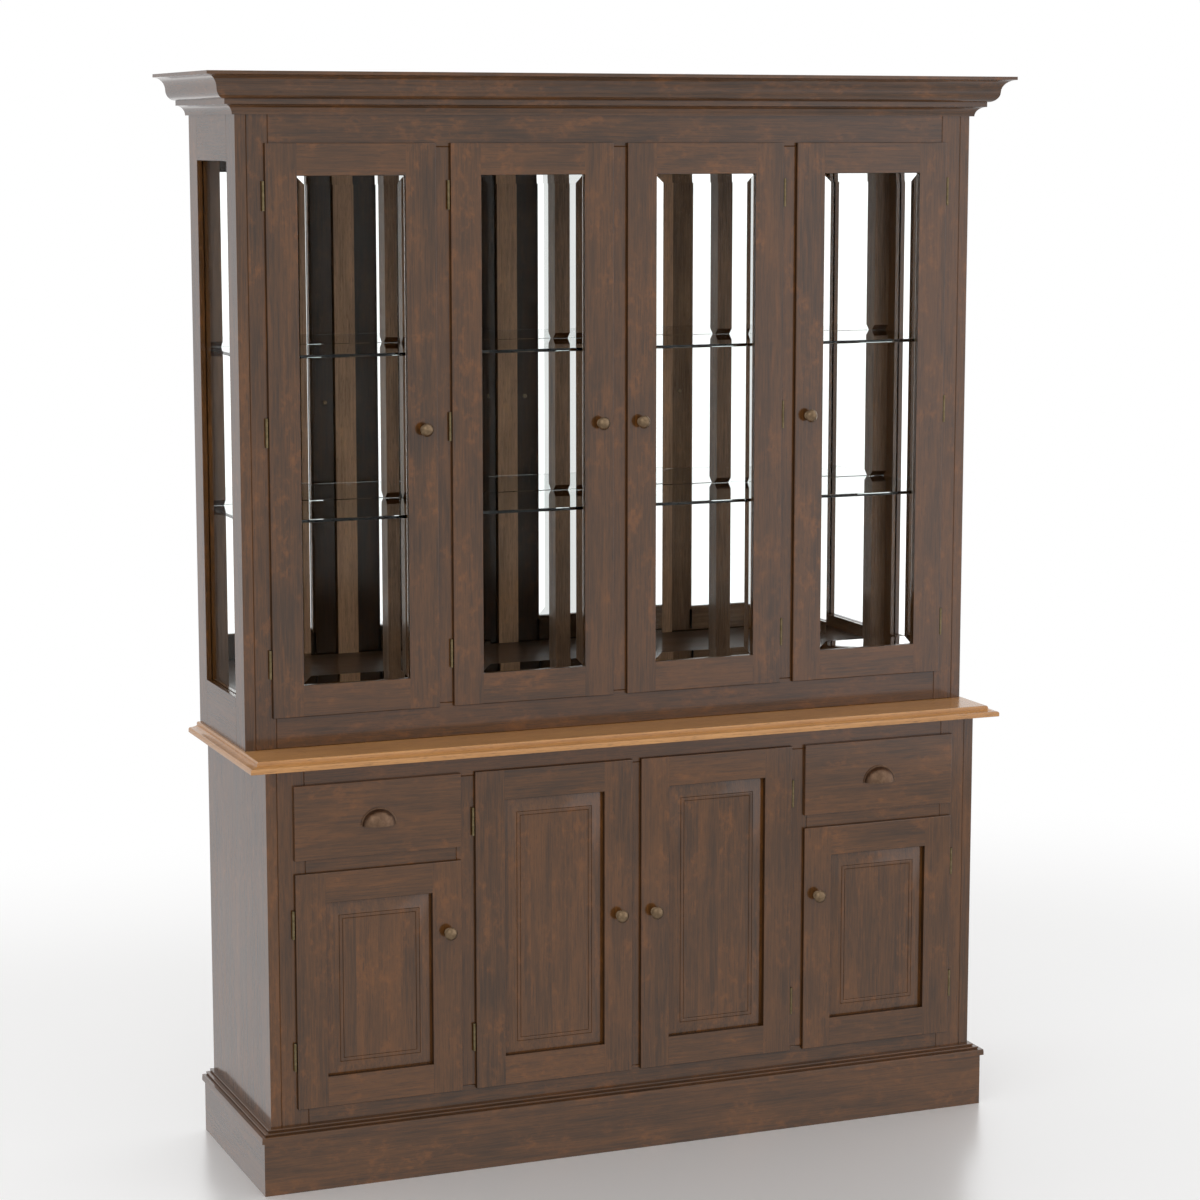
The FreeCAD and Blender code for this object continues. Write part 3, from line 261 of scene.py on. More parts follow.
def ease(piece, chosen, width, segments=2):
    """Rounds or chamfers the chosen edges."""
    edge_mode(piece, chosen)
    bpy.ops.mesh.bevel(offset=width, segments=segments, affect="EDGES", clamp_overlap=True)
    bpy.ops.object.mode_set(mode="OBJECT")
    return piece


def on_planes(*planes):
    """Test for edges that lie in both planes (axis, value) of any of the listed pairs."""
    def chosen(start, end):
        return any(all(abs(point[axis] - value) < SAME_PLACE for axis, value in pair
                       for point in (start, end)) for pair in planes)
    return chosen


def prism(outline, place, run):
    """Solid with the 2-D outline, put into space by place, as its end, pulled along run."""
    deselect()
    bpy.ops.mesh.primitive_circle_add(vertices=len(outline), fill_type="NGON")
    piece = bpy.context.object
    for vertex, point in zip(piece.data.vertices, outline):
        vertex.co = place(*point)
    bpy.ops.object.mode_set(mode="EDIT")
    bpy.ops.mesh.select_all(action="SELECT")
    bpy.ops.mesh.extrude_region_move(TRANSFORM_OT_translate={"value": run})
    bpy.ops.mesh.select_all(action="SELECT")
    bpy.ops.mesh.normals_make_consistent(inside=False)
    bpy.ops.object.mode_set(mode="OBJECT")
    return piece


def upright(outline, z):
    """Prism with an outline in x and y, from z[0] up to z[1]."""
    return prism(outline, lambda x, y: (x, y, z[0]), (0, 0, z[1] - z[0]))


def level(outline, x):
    """Prism with an outline in y and z, from x[0] to x[1]."""
    return prism(outline, lambda y, z: (x[0], y, z), (x[1] - x[0], 0, 0))


def block_outline(a, b):
    return [(a[0], b[0]), (a[1], b[0]), (a[1], b[1]), (a[0], b[1])]


def cut_by_plane(piece, point, normal):
    """Saws the piece at a plane and keeps the side that the normal points away from."""
    select_only(piece)
    bpy.ops.object.mode_set(mode="EDIT")
    bpy.ops.mesh.select_all(action="SELECT")
    bpy.ops.mesh.bisect(plane_co=point, plane_no=normal, use_fill=True, clear_outer=True)
    bpy.ops.object.mode_set(mode="OBJECT")
    return piece


def finish_piece(pieces, name, node, smooth=35):
    """Joins the pieces into the one that replaces the CAD node; smooth is in degrees."""
    deselect()
    for piece in pieces:
        piece.select_set(True)
    bpy.context.view_layer.objects.active = pieces[0]
    if len(pieces) > 1:
        bpy.ops.object.join()
    joined = bpy.context.object
    joined.name = name
    joined.data.name = name
    bpy.ops.object.shade_smooth_by_angle(angle=radians(smooth))
    bpy.ops.object.modifier_add(type="WEIGHTED_NORMAL")
    joined.modifiers[-1].weight = NORMAL_WEIGHT
    joined.modifiers[-1].keep_sharp = True
    bpy.ops.object.modifier_apply(modifier=joined.modifiers[-1].name)
    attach(joined, body_holding(node))
    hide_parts(node)
    return joined


def body_holding(node):
    return next(body for body, members in bodies.items() if node in members)


# ==== materials =================================================================================
class Graph:
    """Adds nodes to the tree of a material, a node group or the world."""

    def __init__(self, tree):
        self.tree = tree

    def feed(self, node, inputs):
        """Links or sets the node's inputs, each given by its name or number."""
        for name, value in inputs.items():
            if isinstance(value, bpy.types.NodeSocket):
                self.tree.links.new(value, node.inputs[name])
            else:
                node.inputs[name].default_value = value

    def node(self, kind, inputs=None, **settings):
        made = self.tree.nodes.new(kind)
        for name, value in settings.items():
            setattr(made, name, value)
        self.feed(made, inputs or {})
        return made

    def math(self, operation, *values):
        return self.node("ShaderNodeMath", dict(enumerate(values)), operation=operation).outputs[0]

    def mix(self, factor, first, second, blend="MIX"):
        colors = [value if isinstance(value, bpy.types.NodeSocket) else (*value, 1)
                  for value in (first, second)]
        made = self.node("ShaderNodeMix", data_type="RGBA", blend_type=blend)
        self.feed(made, {0: factor, 6: colors[0], 7: colors[1]})
        return made.outputs[2]

    def mix_shaders(self, factor, first, second):
        return self.node("ShaderNodeMixShader", {0: factor, 1: first, 2: second}).outputs[0]

    def smooth_step(self, value, low, high):
        made = self.node("ShaderNodeMapRange", {"Value": value, "From Min": low, "From Max": high},
                         interpolation_type="SMOOTHSTEP")
        return made.outputs["Result"]

    def noise(self, vector, scale, detail=3.0, roughness=0.55, distortion=0.0):
        made = self.node("ShaderNodeTexNoise", {"Vector": vector, "Scale": scale, "Detail": detail,
                                                "Roughness": roughness, "Distortion": distortion})
        return made.outputs["Fac"]


def new_group(name, inputs, outputs):
    """Empty node group with its sockets: {name: (type, default)}."""
    group = bpy.data.node_groups.new(name, "ShaderNodeTree")
    for label, (kind, default) in inputs.items():
        socket = group.interface.new_socket(label, in_out="INPUT", socket_type=kind)
        if default is not None:
            socket.default_value = default
    for label, kind in outputs.items():
        group.interface.new_socket(label, in_out="OUTPUT", socket_type=kind)
    graph = Graph(group)
    start = graph.node("NodeGroupInput")
    end = graph.node("NodeGroupOutput")
    return group, graph, start.outputs, end.inputs


def grain_group():
    """Stained, close-grained wood: the grain runs along the vector's X."""
    group, g, given, result = new_group(
        "stained_grain",
        {"Vector": ("NodeSocketVector", None), "Board": ("NodeSocketFloat", 0.0),
         "Dark": ("NodeSocketColor", (0.05, 0.025, 0.011, 1)),
         "Mid": ("NodeSocketColor", (0.095, 0.048, 0.022, 1)),
         "Blotch": ("NodeSocketColor", (0.19, 0.075, 0.025, 1)),
         "Blotches": ("NodeSocketFloat", 0.5), "Figure": ("NodeSocketFloat", 1.0)},
        {"Color": "NodeSocketColor", "Height": "NodeSocketFloat", "Roughness": "NodeSocketFloat"})
    shift = g.node("ShaderNodeCombineXYZ",
                   {axis: g.math("MULTIPLY", given["Board"], step)
                    for axis, step in enumerate(BOARD_SHIFT)}).outputs[0]
    place = g.node("ShaderNodeVectorMath", {0: given["Vector"], 1: shift},
                   operation="ADD").outputs[0]
    noises = {}
    for label, (along, across, *kind) in GRAIN_NOISES.items():
        stretched = g.node("ShaderNodeVectorMath", {0: place, 1: (along, across, across)},
                           operation="MULTIPLY").outputs[0]
        noises[label] = g.noise(stretched, 1.0, *kind)

    def mask(label, low, high):
        return g.smooth_step(noises[label], low, high)

    board_tone = g.node("ShaderNodeTexWhiteNoise", {"W": given["Board"]},
                        noise_dimensions="1D").outputs["Value"]
    tone = g.math("MULTIPLY", mask("figure", 0.30, 0.72), given["Figure"])
    tone = g.math("MULTIPLY_ADD", mask("streaks", 0.34, 0.68), 0.62, tone)
    tone = g.math("MULTIPLY_ADD", mask("hairs", 0.36, 0.66), 0.75, tone)
    tone = g.math("MULTIPLY_ADD", mask("clouds", 0.35, 0.70), 0.5, tone)
    tone = g.math("MULTIPLY_ADD", board_tone, 0.30, g.math("MULTIPLY_ADD", tone, 0.49, -0.20))
    color = g.mix(tone, given["Dark"], given["Mid"])
    patches = g.math("MULTIPLY", mask("patches", 0.46, 0.72), mask("clouds", 0.42, 0.62))
    flecks = g.math("MULTIPLY", mask("flecks", 0.56, 0.78), 0.45)
    warm = g.math("MULTIPLY", g.math("MAXIMUM", patches, flecks), given["Blotches"])
    color = g.mix(warm, color, given["Blotch"])
    color = g.mix(g.math("MULTIPLY", mask("pores", 0.54, 0.74), 0.45), color, PORE_COLOR)
    height = g.math("MULTIPLY_ADD", noises["streaks"], 0.5,
                    g.math("MULTIPLY", noises["pores"], -0.5))
    roughness = g.math("MULTIPLY_ADD", noises["sheen"], 0.16, 0.36)
    for label, value in (("Color", color), ("Height", height), ("Roughness", roughness)):
        g.tree.links.new(value, result[label])
    return group


def material_with_shader(name, **sockets):
    """New material with a Principled shader; sockets are named with _ for a space."""
    material = bpy.data.materials.new(name)
    material.use_nodes = True
    material.node_tree.nodes.clear()
    g = Graph(material.node_tree)
    shader = g.node("ShaderNodeBsdfPrincipled",
                    {label.replace("_", " "): value for label, value in sockets.items()})
    output = g.node("ShaderNodeOutputMaterial", {"Surface": shader.outputs[0]})
    return material, g, shader, output


def set_surface(g, shader, color, roughness, height, strength, depth):
    """Gives the shader its colour and roughness, and a fine relief from height."""
    bump = g.node("ShaderNodeBump", {"Height": height, "Strength": strength, "Distance": depth})
    g.feed(shader, {"Base Color": color, "Roughness": roughness, "Normal": bump.outputs[0]})


def wood(name, grain, direction, palette, blotches=0.7, figure=1.0, coat=1.0, coat_rough=0.12,
         staves=False, notch_shade=None):
    """Wood with the grain upright, level or deep, as one board or as glued-up staves.

    The last argument is painted shade, multiplied into faces that look up or down, as the sloping
    faces of a notch.
    """
    material, g, shader, _ = material_with_shader(
        name, Coat_Weight=coat, Coat_Roughness=coat_rough, Coat_IOR=LACQUER_INDEX,
        Specular_IOR_Level=LACQUER_SPECULAR)
    place = g.node("ShaderNodeTexCoord").outputs["Object"]
    along = g.node("ShaderNodeMapping", {"Vector": place, "Rotation": GRAIN_TURN[direction]},
                   vector_type="TEXTURE").outputs[0]
    board = g.node("ShaderNodeAttribute", attribute_name="board").outputs["Fac"]
    if staves:
        across = g.node("ShaderNodeSeparateXYZ", {"Vector": place}).outputs["X"]
        strip = g.math("FLOOR", g.math("DIVIDE", across, STAVE_WIDTH))
        board = g.math("ADD", board, g.math("MULTIPLY", strip, STAVE_STEP))
    look = g.node("ShaderNodeGroup", node_tree=grain)
    g.feed(look, {"Vector": along, "Board": board, "Blotches": blotches, "Figure": figure})
    g.feed(look, {label: (*value, 1) for label, value in zip(("Dark", "Mid", "Blotch"), palette)})
    color = look.outputs["Color"]
    # painted shade on faces that look up or down
    if notch_shade:
        facing = g.node("ShaderNodeNewGeometry").outputs["True Normal"]
        rise = g.math("ABSOLUTE", g.node("ShaderNodeSeparateXYZ", {"Vector": facing}).outputs["Z"])
        color = g.mix(g.math("GREATER_THAN", rise, NOTCH_SLOPE), color, notch_shade, "MULTIPLY")
    set_surface(g, shader, color, look.outputs["Roughness"], look.outputs["Height"],
                strength=0.6, depth=0.00012)
    return material


def patina_material(name, dark, light, speck):
    """Antiqued metal: a cloudy patina between dark and light, with fine specks."""
    material, g, shader, _ = material_with_shader(name, Metallic=1.0)
    place = g.node("ShaderNodeTexCoord").outputs["Object"]
    patina = g.noise(place, 130.0, 4.0, 0.6, 0.4)
    specks = g.noise(place, 900.0, 3.0, 0.6)
    color = g.mix(g.smooth_step(patina, 0.35, 0.70), dark, light)
    color = g.mix(g.math("MULTIPLY", g.smooth_step(specks, 0.55, 0.75), 0.5), color, speck)
    set_surface(g, shader, color, g.math("MULTIPLY_ADD", patina, 0.20, 0.26), specks,
                strength=0.35, depth=0.0001)
    return material


def glass_material(name, tint, index=GLASS_INDEX, glint=0.0):
    """Clear glass that lets light through to what stands behind it; glint is its reflection."""
    material, g, shader, output = material_with_shader(
        name, Transmission_Weight=1.0, IOR=index, Specular_Tint=(glint, glint, glint, 1))
    place = g.node("ShaderNodeTexCoord").outputs["Object"]
    ripple = g.noise(place, 9.0, 1.0, 0.4)
    color = g.mix(g.smooth_step(g.noise(place, 3.0, 1.0), 0.3, 0.7), tint,
                  tuple(GLASS_CLOUD * part for part in tint))
    set_surface(g, shader, color, 0.0, ripple, strength=0.05, depth=0.0002)
    path = g.node("ShaderNodeLightPath").outputs
    through = g.math("MAXIMUM", path["Is Shadow Ray"], path["Is Diffuse Ray"])
    clear = g.node("ShaderNodeBsdfTransparent", {"Color": GLASS_SHADOW})
    g.feed(output, {"Surface": g.mix_shaders(through, shader.outputs[0], clear.outputs[0])})
    return material


def mirror_material():
    """Silvered glass with a faint film on it."""
    material, g, shader, _ = material_with_shader("silvered_mirror", Metallic=1.0)
    place = g.node("ShaderNodeTexCoord").outputs["Object"]
    film = g.smooth_step(g.noise(place, 5.0, 3.0, 0.6), 0.35, 0.8)
    g.feed(shader, {"Base Color": g.mix(film, (0.93, 0.935, 0.93), (0.90, 0.905, 0.90)),
                    "Roughness": g.math("MULTIPLY", film, 0.012)})
    return material


def plain_finish(name, light, dark, rough, scale, metallic=0.0):
    """Even finish with a fine mottle, for small moulded or turned parts."""
    material, g, shader, _ = material_with_shader(name, Metallic=metallic)
    place = g.node("ShaderNodeTexCoord").outputs["Object"]
    mottle = g.noise(place, scale, 3.0, 0.6)
    color = g.mix(g.smooth_step(mottle, 0.35, 0.7), dark, light)
    set_surface(g, shader, color, g.math("MULTIPLY_ADD", mottle, 0.2, rough), mottle,
                strength=0.3, depth=0.00008)
    return material


def make_materials():
    grain = grain_group()
    made = {f"stain_{way}": wood(f"stained_wood_{way}", grain, way, STAIN)
            for way in ("upright", "level", "deep")}
    made["stain_staves"] = wood("stained_wood_staves", grain, "upright", STAIN, staves=True)
    made["stain_inside"] = wood("stained_wood_inside", grain, "upright", STAIN, coat=0.4,
                                coat_rough=0.2)
    made["stain_post"] = wood("stained_wood_post", grain, "upright", POST, coat=0.15,
                              notch_shade=NOTCH_SHADE)
    # the hutch's floor and top take the darker palette of the board edges
    made["stain_ledge"] = wood("stained_wood_ledge", grain, "level", EDGE, coat=0.4)
    for kind, (name, palette, lacquer) in PAINTED_LIGHT_AND_SHADE.items():
        for way in ("upright", "level"):
            made[f"{kind}_{way}"] = wood(f"{name}_{way}", grain, way, palette, **lacquer)
    made["counter"] = wood("counter_wood", grain, "level", HONEY, blotches=0.25, figure=0.7,
                           coat_rough=0.22)
    made["pale_deep"] = wood("drawer_wood", grain, "deep", PALE, blotches=0.15, coat=0.3,
                             coat_rough=0.35)
    made["brass"] = patina_material("antique_brass", (0.15, 0.115, 0.056), (0.225, 0.172, 0.096),
                                    (0.10, 0.074, 0.038))
    made["knob_brass"] = patina_material("rubbed_brass", (0.17, 0.115, 0.068),
                                         (0.25, 0.175, 0.105), (0.12, 0.08, 0.045))
    made["bronze"] = patina_material("antique_bronze", (0.13, 0.078, 0.050), (0.19, 0.118, 0.074),
                                     (0.09, 0.054, 0.034))
    made["door_glass"] = glass_material("bevelled_glass", (0.98, 0.99, 0.985))
    made["shelf_glass"] = glass_material("shelf_glass", (0.78, 0.84, 0.83), glint=0.6)
    made["window_glass"] = glass_material("window_glass", (0.985, 0.99, 0.985),
                                          SIDE_GLASS_INDEX)
    made["mirror"] = mirror_material()
    made["steel"] = plain_finish("peg_steel", (0.55, 0.55, 0.56), (0.38, 0.38, 0.39), 0.25, 400.0,
                                 1.0)
    made["magnet"] = plain_finish("catch_housing", (0.14, 0.09, 0.06), (0.09, 0.055, 0.035), 0.45,
                                  300.0)
    return made


FINISH = make_materials()


def paint(piece, finish):
    piece.data.materials.clear()
    piece.data.materials.append(FINISH[finish])
    return piece


def paint_faces(piece, kind, chosen):
    """Gives the chosen faces that kind of painted light or shade, with the grain as on the rest of
    the piece.
    """
    way = "level" if piece.data.materials[0] == FINISH["stain_level"] else "upright"
    piece.data.materials.append(FINISH[f"{kind}_{way}"])
    for face in piece.data.polygons:
        if chosen(face):
            face.material_index = len(piece.data.materials) - 1


# ==== doors =====================================================================================
board_count = 0


def board(piece, finish):
    """Gives a newly cut board its finish, and a number, so that no two share their grain."""
    global board_count
    board_count += 1
    marks = piece.data.attributes.new("board", "FLOAT", "FACE")
    marks.data.foreach_set("value", [float(board_count)] * len(piece.data.polygons))
    return paint(piece, finish)


def looks_back(face):
    return face.normal.y > FACING


def door_stile(outer, inner, opening_edge, y, z, opening_z, rebate):
    """Stile from its outer to its inner edge: a lip, and behind it the part in the opening."""
    front, lip_back, back = y
    lip = upright(block_outline((outer, inner), (front, lip_back)), z)
    rounded = on_planes(((0, outer), (1, front)), ((2, z[0]), (1, front)), ((2, z[1]), (1, front)))
    ease(lip, rounded, DOOR_EASE, EASE_STEPS)
    ease(lip, on_planes(((0, inner), (1, front))), INNER_EASE)
    way = 1 if inner > outer else -1
    outline = [(opening_edge, lip_back), (inner, lip_back)]
    if rebate:
        seat = front + GLASS_SEAT
        outline += [(inner, seat), (inner - way * REBATE, seat), (inner - way * REBATE, back)]
    else:
        outline.append((inner, back))
    outline.append((opening_edge, back))
    return [lip, upright(outline, opening_z)]


def door_rail(x, outer, inner, opening_edge, y, rebate):
    """Rail between the stiles, with its outer edge at the top or the bottom of the door."""
    front, lip_back, back = y
    way = 1 if inner > outer else -1
    outline = [(front, outer), (front, inner)]
    if rebate:
        seat = front + GLASS_SEAT
        outline += [(seat, inner), (seat, inner - way * REBATE), (back, inner - way * REBATE)]
    else:
        outline.append((back, inner))
    outline += [(back, opening_edge), (lip_back, opening_edge), (lip_back, outer)]
    rail = level(outline, x)
    ease(rail, on_planes(((2, outer), (1, front))), DOOR_EASE, EASE_STEPS)
    return ease(rail, on_planes(((2, inner), (1, front))), INNER_EASE)


def glazing_beads(x, z, front, back):
    """Strips behind the pane, with their free inner edge rounded."""
    y = (front, back)
    beads = [upright(block_outline((x[0] - REBATE, x[0]), y), (z[0] - REBATE, z[1] + REBATE)),
             upright(block_outline((x[1], x[1] + REBATE), y), (z[0] - REBATE, z[1] + REBATE)),
             level(block_outline(y, (z[0] - REBATE, z[0])), x),
             level(block_outline(y, (z[1], z[1] + REBATE)), x)]
    soft = on_planes(((0, x[0]), (1, back)), ((0, x[1]), (1, back)),
                     ((2, z[0]), (1, back)), ((2, z[1]), (1, back)))
    return [ease(bead, soft, BEAD_EASE, EASE_STEPS) for bead in beads]


def is_edge_face(face):
    """Sides of a board and the underside of its rounding, which get painted shade."""
    return abs(face.normal.y) < EDGE_FACING or face.normal.z < ROUNDING_DROP


def make_door(door, stile, glazed, overlays=(OVERLAY_X, OVERLAY_X)):
    low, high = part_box(f"{door}_frame")
    x = (low.x, high.x)
    z = (low.z, high.z)
    y = (low.y, low.y + LIP_THICK, low.y + DOOR_THICK)
    clear_x = (x[0] + overlays[0] + OPENING_GAP, x[1] - overlays[1] - OPENING_GAP)
    clear_z = (z[0] + OVERLAY_Z + OPENING_GAP, z[1] - OVERLAY_Z - OPENING_GAP)
    inner_x = (x[0] + stile, x[1] - stile)
    inner_z = (z[0] + stile, z[1] - stile)
    pieces = []
    for side in (0, 1):
        stile_parts = door_stile(x[side], inner_x[side], clear_x[side], y, z, clear_z, glazed)
        pieces += [board(part, "stain_upright") for part in stile_parts]
        rail = door_rail(inner_x, z[side], inner_z[side], clear_z[side], y, glazed)
        pieces.append(board(rail, "stain_level"))
    # painted shade on the edges of the boards
    for piece in pieces:
        paint_faces(piece, "edge", is_edge_face)
    if glazed:
        pane_back = low.y + GLASS_SEAT + GLASS_RIM
        beads = glazing_beads(inner_x, inner_z, pane_back, pane_back + BEAD_THICK)
        pieces += [board(bead, "stain_upright") for bead in beads]
        # painted shade on the backs of the door, and painted light on the back of the one by the
        # side window
        back = "glow" if door == WINDOW_SIDE_DOOR else "shade"
        for piece in pieces:
            paint_faces(piece, back, looks_back)
        make_pane(door, inner_x)
    finish_piece(pieces, f"{door}_joinery", f"{door}_frame")


def inset_front(slab, steps):
    """Steps the slab's front face inwards, by the width and the rise of each step."""
    select_only(slab)
    bpy.ops.object.mode_set(mode="EDIT")
    bpy.ops.mesh.select_mode(type="FACE")
    bpy.ops.mesh.select_all(action="DESELECT")
    bpy.ops.object.mode_set(mode="OBJECT")
    for face in slab.data.polygons:
        face.select = face.normal.y < -FACING
    bpy.ops.object.mode_set(mode="EDIT")
    for width, rise in steps:
        bpy.ops.mesh.inset(thickness=width, depth=rise)
    bpy.ops.object.mode_set(mode="OBJECT")
    return slab


def make_pane(door, inner_x):
    """Pane with a wide bevel all round, inside the sight edges of its door."""
    low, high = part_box(f"{door}_glass")
    slab = upright(block_outline((low.x, high.x), (low.y + PANE_BEVEL_RISE, high.y)),
                   (low.z, high.z))
    inset_front(slab, [(inner_x[0] - low.x, 0), (PANE_BEVEL, PANE_BEVEL_RISE)])
    finish_piece([paint(slab, "door_glass")], f"{door}_bevelled_pane", f"{door}_glass",
                 smooth=2)


def make_panel(door):
    """Raised panel: a sloping border, then a bead between two fine quirks, then the field."""
    low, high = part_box(f"{door}_panel")
    face_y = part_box(f"{door}_frame")[0].y
    slab = upright(block_outline((low.x, high.x), (face_y + PANEL_DEPTH, high.y)),
                   (low.z, high.z))
    steps = [(PANEL_RIM, 0), (PANEL_SLOPE, PANEL_DEPTH - PANEL_FIELD_DEPTH)]
    quirk = [(PANEL_QUIRK, -PANEL_QUIRK_DEPTH), (PANEL_QUIRK, PANEL_QUIRK_DEPTH)]
    steps += quirk
    steps += [(PANEL_BEAD / 4, PANEL_BEAD_RISE), (PANEL_BEAD / 2, 0),
              (PANEL_BEAD / 4, -PANEL_BEAD_RISE)]
    steps += quirk
    inset_front(slab, steps)
    board(slab, "stain_staves")
    finish_piece([slab], f"{door}_raised_panel", f"{door}_panel", smooth=20)


def make_doors():
    base_overlays = ((OUTER_OVERLAY, OVERLAY_X), (OVERLAY_X, OVERLAY_X),
                     (OVERLAY_X, OVERLAY_X), (OVERLAY_X, OUTER_OVERLAY))
    for number, overlays in enumerate(base_overlays, 1):
        make_door(f"hutch_door_{number}", HUTCH_DOOR_STILE, True)
        make_door(f"base_door_{number}", BASE_DOOR_STILE, False, overlays)
        make_panel(f"base_door_{number}")


# ==== face frames ===============================================================================
def frame_board(x, y, z, finish):
    """Frame member with a fine chamfer all round its face."""
    made = upright(block_outline(x, y), z)
    edges = on_planes(*[((1, y[0]), (axis, value)) for axis, pair in ((0, x), (2, z))
                        for value in pair])
    return board(ease(made, edges, FRAME_EASE, 1), finish)


def hutch_openings(half):
    inner = half - HUTCH_STILE
    width = (2 * inner - 3 * HUTCH_MULLION) / 4
    lefts = [-inner + index * (width + HUTCH_MULLION) for index in range(4)]
    return [(left, left + width) for left in lefts]


def base_openings(half):
    inner = half - BASE_STILE
    side = inner - SIDE_OPENING_WIDTH
    near = side - BASE_MULLION
    return [(-inner, -side), (-near, -CENTRE_MULLION / 2), (CENTRE_MULLION / 2, near),
            (side, inner)]


def make_face_frame(node, openings, stile, z, lintel, sill, bottom, cross_rails=()):
    low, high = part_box(node)
    half = high.x
    inner = half - stile
    y = (low.y, low.y + FRAME_THICK)
    members = [frame_board((-half, -inner), y, z, "stain_upright"),
               frame_board((inner, half), y, z, "stain_upright"),
               frame_board((-inner, inner), y, (lintel, z[1]), "stain_level"),
               frame_board((-inner, inner), y, (bottom, sill), "stain_level")]
    for left, right in zip(openings, openings[1:]):
        members.append(frame_board((left[1], right[0]), y, (sill, lintel), "stain_upright"))
    if not cross_rails:
        # the hutch's frame, whose back the mirror shows, gets painted light on its back
        for member in members:
            paint_faces(member, "lit", looks_back)
    for opening, rail_z in cross_rails:
        members.append(frame_board(opening, y, rail_z, "stain_level"))
    finish_piece(members, f"{node}_joinery", node)


def make_face_frames():
    low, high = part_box("hutch_face_frame")
    cornice_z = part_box("cornice")[0].z
    make_face_frame("hutch_face_frame", hutch_openings(high.x), HUTCH_STILE, (low.z, high.z),
                    cornice_z - HUTCH_TOP_RAIL, low.z + HUTCH_BOTTOM_RAIL, low.z)
    low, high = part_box("base_face_frame")
    openings = base_openings(high.x)
    lintel = high.z - BASE_TOP_RAIL
    drawer_z = lintel - DRAWER_OPENING_HEIGHT
    middle = (drawer_z - MIDDLE_RAIL, drawer_z)
    make_face_frame("base_face_frame", openings, BASE_STILE, (low.z, high.z), lintel,
                    BASE_FLOOR_Z, BASE_FLOOR_Z - BASE_BOTTOM_RAIL,
                    [(openings[0], middle), (openings[3], middle)])


# ==== hutch side frames =========================================================================
def rebated_outline(outer, seat, inner, edge, sight, way):
    """Section of a window frame's member, from its edge to the rebate at its sight edge."""
    return [(outer, edge), (outer, sight), (seat, sight), (seat, sight - way * REBATE),
            (inner, sight - way * REBATE), (inner, edge)]


def make_hutch_sides():
    low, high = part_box("hutch_sides")
    cornice_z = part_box("cornice")[0].z
    window_y = (low.y + WINDOW_FRONT_STILE, high.y - WINDOW_BACK_STILE)
    window_z = (low.z + WINDOW_BOTTOM_RAIL, cornice_z - WINDOW_TOP_RAIL)
    z = (low.z, high.z)
    pieces = []
    for side, outer in ((-1, low.x), (1, high.x)):
        seat = outer - side * GLASS_SEAT
        inner = outer - side * SIDE_THICK
        for edge, sight, way in ((low.y, window_y[0], 1), (high.y, window_y[1], -1)):
            stile = upright(rebated_outline(outer, seat, inner, edge, sight, way), z)
            if way > 0:
                ease(stile, on_planes(((0, outer), (1, edge)), ((0, inner), (1, edge))),
                     FRAME_EASE, 1)
            ease(stile, on_planes(((0, outer), (1, sight))), INNER_EASE)
            pieces.append(board(stile, "stain_upright"))
        for edge, sight, way in ((z[0], window_z[0], 1), (z[1], window_z[1], -1)):
            rail = prism(rebated_outline(outer, seat, inner, edge, sight, way),
                         lambda x, height: (x, window_y[0], height),
                         (0, window_y[1] - window_y[0], 0))
            ease(rail, on_planes(((0, outer), (2, sight))), INNER_EASE)
            pieces.append(board(rail, "stain_deep"))
        bead_x = (seat - side * SIDE_GLASS_THICK, inner)
        rebate_z = (window_z[0] - REBATE, window_z[1] + REBATE)
        for y_span, z_span in (((window_y[0] - REBATE, window_y[0]), rebate_z),
                               ((window_y[1], window_y[1] + REBATE), rebate_z),
                               (window_y, (rebate_z[0], window_z[0])),
                               (window_y, (window_z[1], rebate_z[1]))):
            bead = upright(block_outline(bead_x, y_span), z_span)
            pieces.append(board(bead, "stain_upright"))
    finish_piece(pieces, "hutch_side_joinery", "hutch_sides")


# ==== mouldings =================================================================================
def arc_points(centre, radius, start, end, steps=ARC_STEPS):
    """Points of an arc after its start, from one angle to another, in degrees."""
    angles = [radians(start + (end - start) * step / steps) for step in range(1, steps + 1)]
    return [(centre[0] + radius * cos(angle), centre[1] + radius * sin(angle))
            for angle in angles]


def bowed_points(start, end, bulge, steps=ARC_STEPS):
    """Points after start of a shallow arc that stands out by bulge to the right of its way."""
    chord = Vector((end[0] - start[0], end[1] - start[1]))
    outwards = Vector((chord.y, -chord.x)).normalized()
    points = []
    for step in range(1, steps + 1):
        share = step / steps
        out = 4 * bulge * share * (1 - share)
        points.append((start[0] + chord.x * share + outwards.x * out,
                       start[1] + chord.y * share + outwards.y * out))
    return points


def cornice_profile(z):
    """From the bottom: foot, small cove, fillet, round, large cove and lip."""
    out = CORNICE_FOOT
    points = [(0, z), (out, z)]
    points += arc_points((out + CORNICE_SMALL_COVE, z), CORNICE_SMALL_COVE, 180, 90)
    out += CORNICE_SMALL_COVE
    z += CORNICE_SMALL_COVE + CORNICE_FILLET
    points.append((out, z))
    points += arc_points((out, z + CORNICE_ROUND), CORNICE_ROUND, -90, 0)
    out += CORNICE_ROUND
    z += CORNICE_ROUND
    points += arc_points((out + CORNICE_LARGE_COVE, z), CORNICE_LARGE_COVE, 180, 90)
    out += CORNICE_LARGE_COVE
    z += CORNICE_LARGE_COVE
    return points + [(out, z + CORNICE_LIP), (0, z + CORNICE_LIP)]


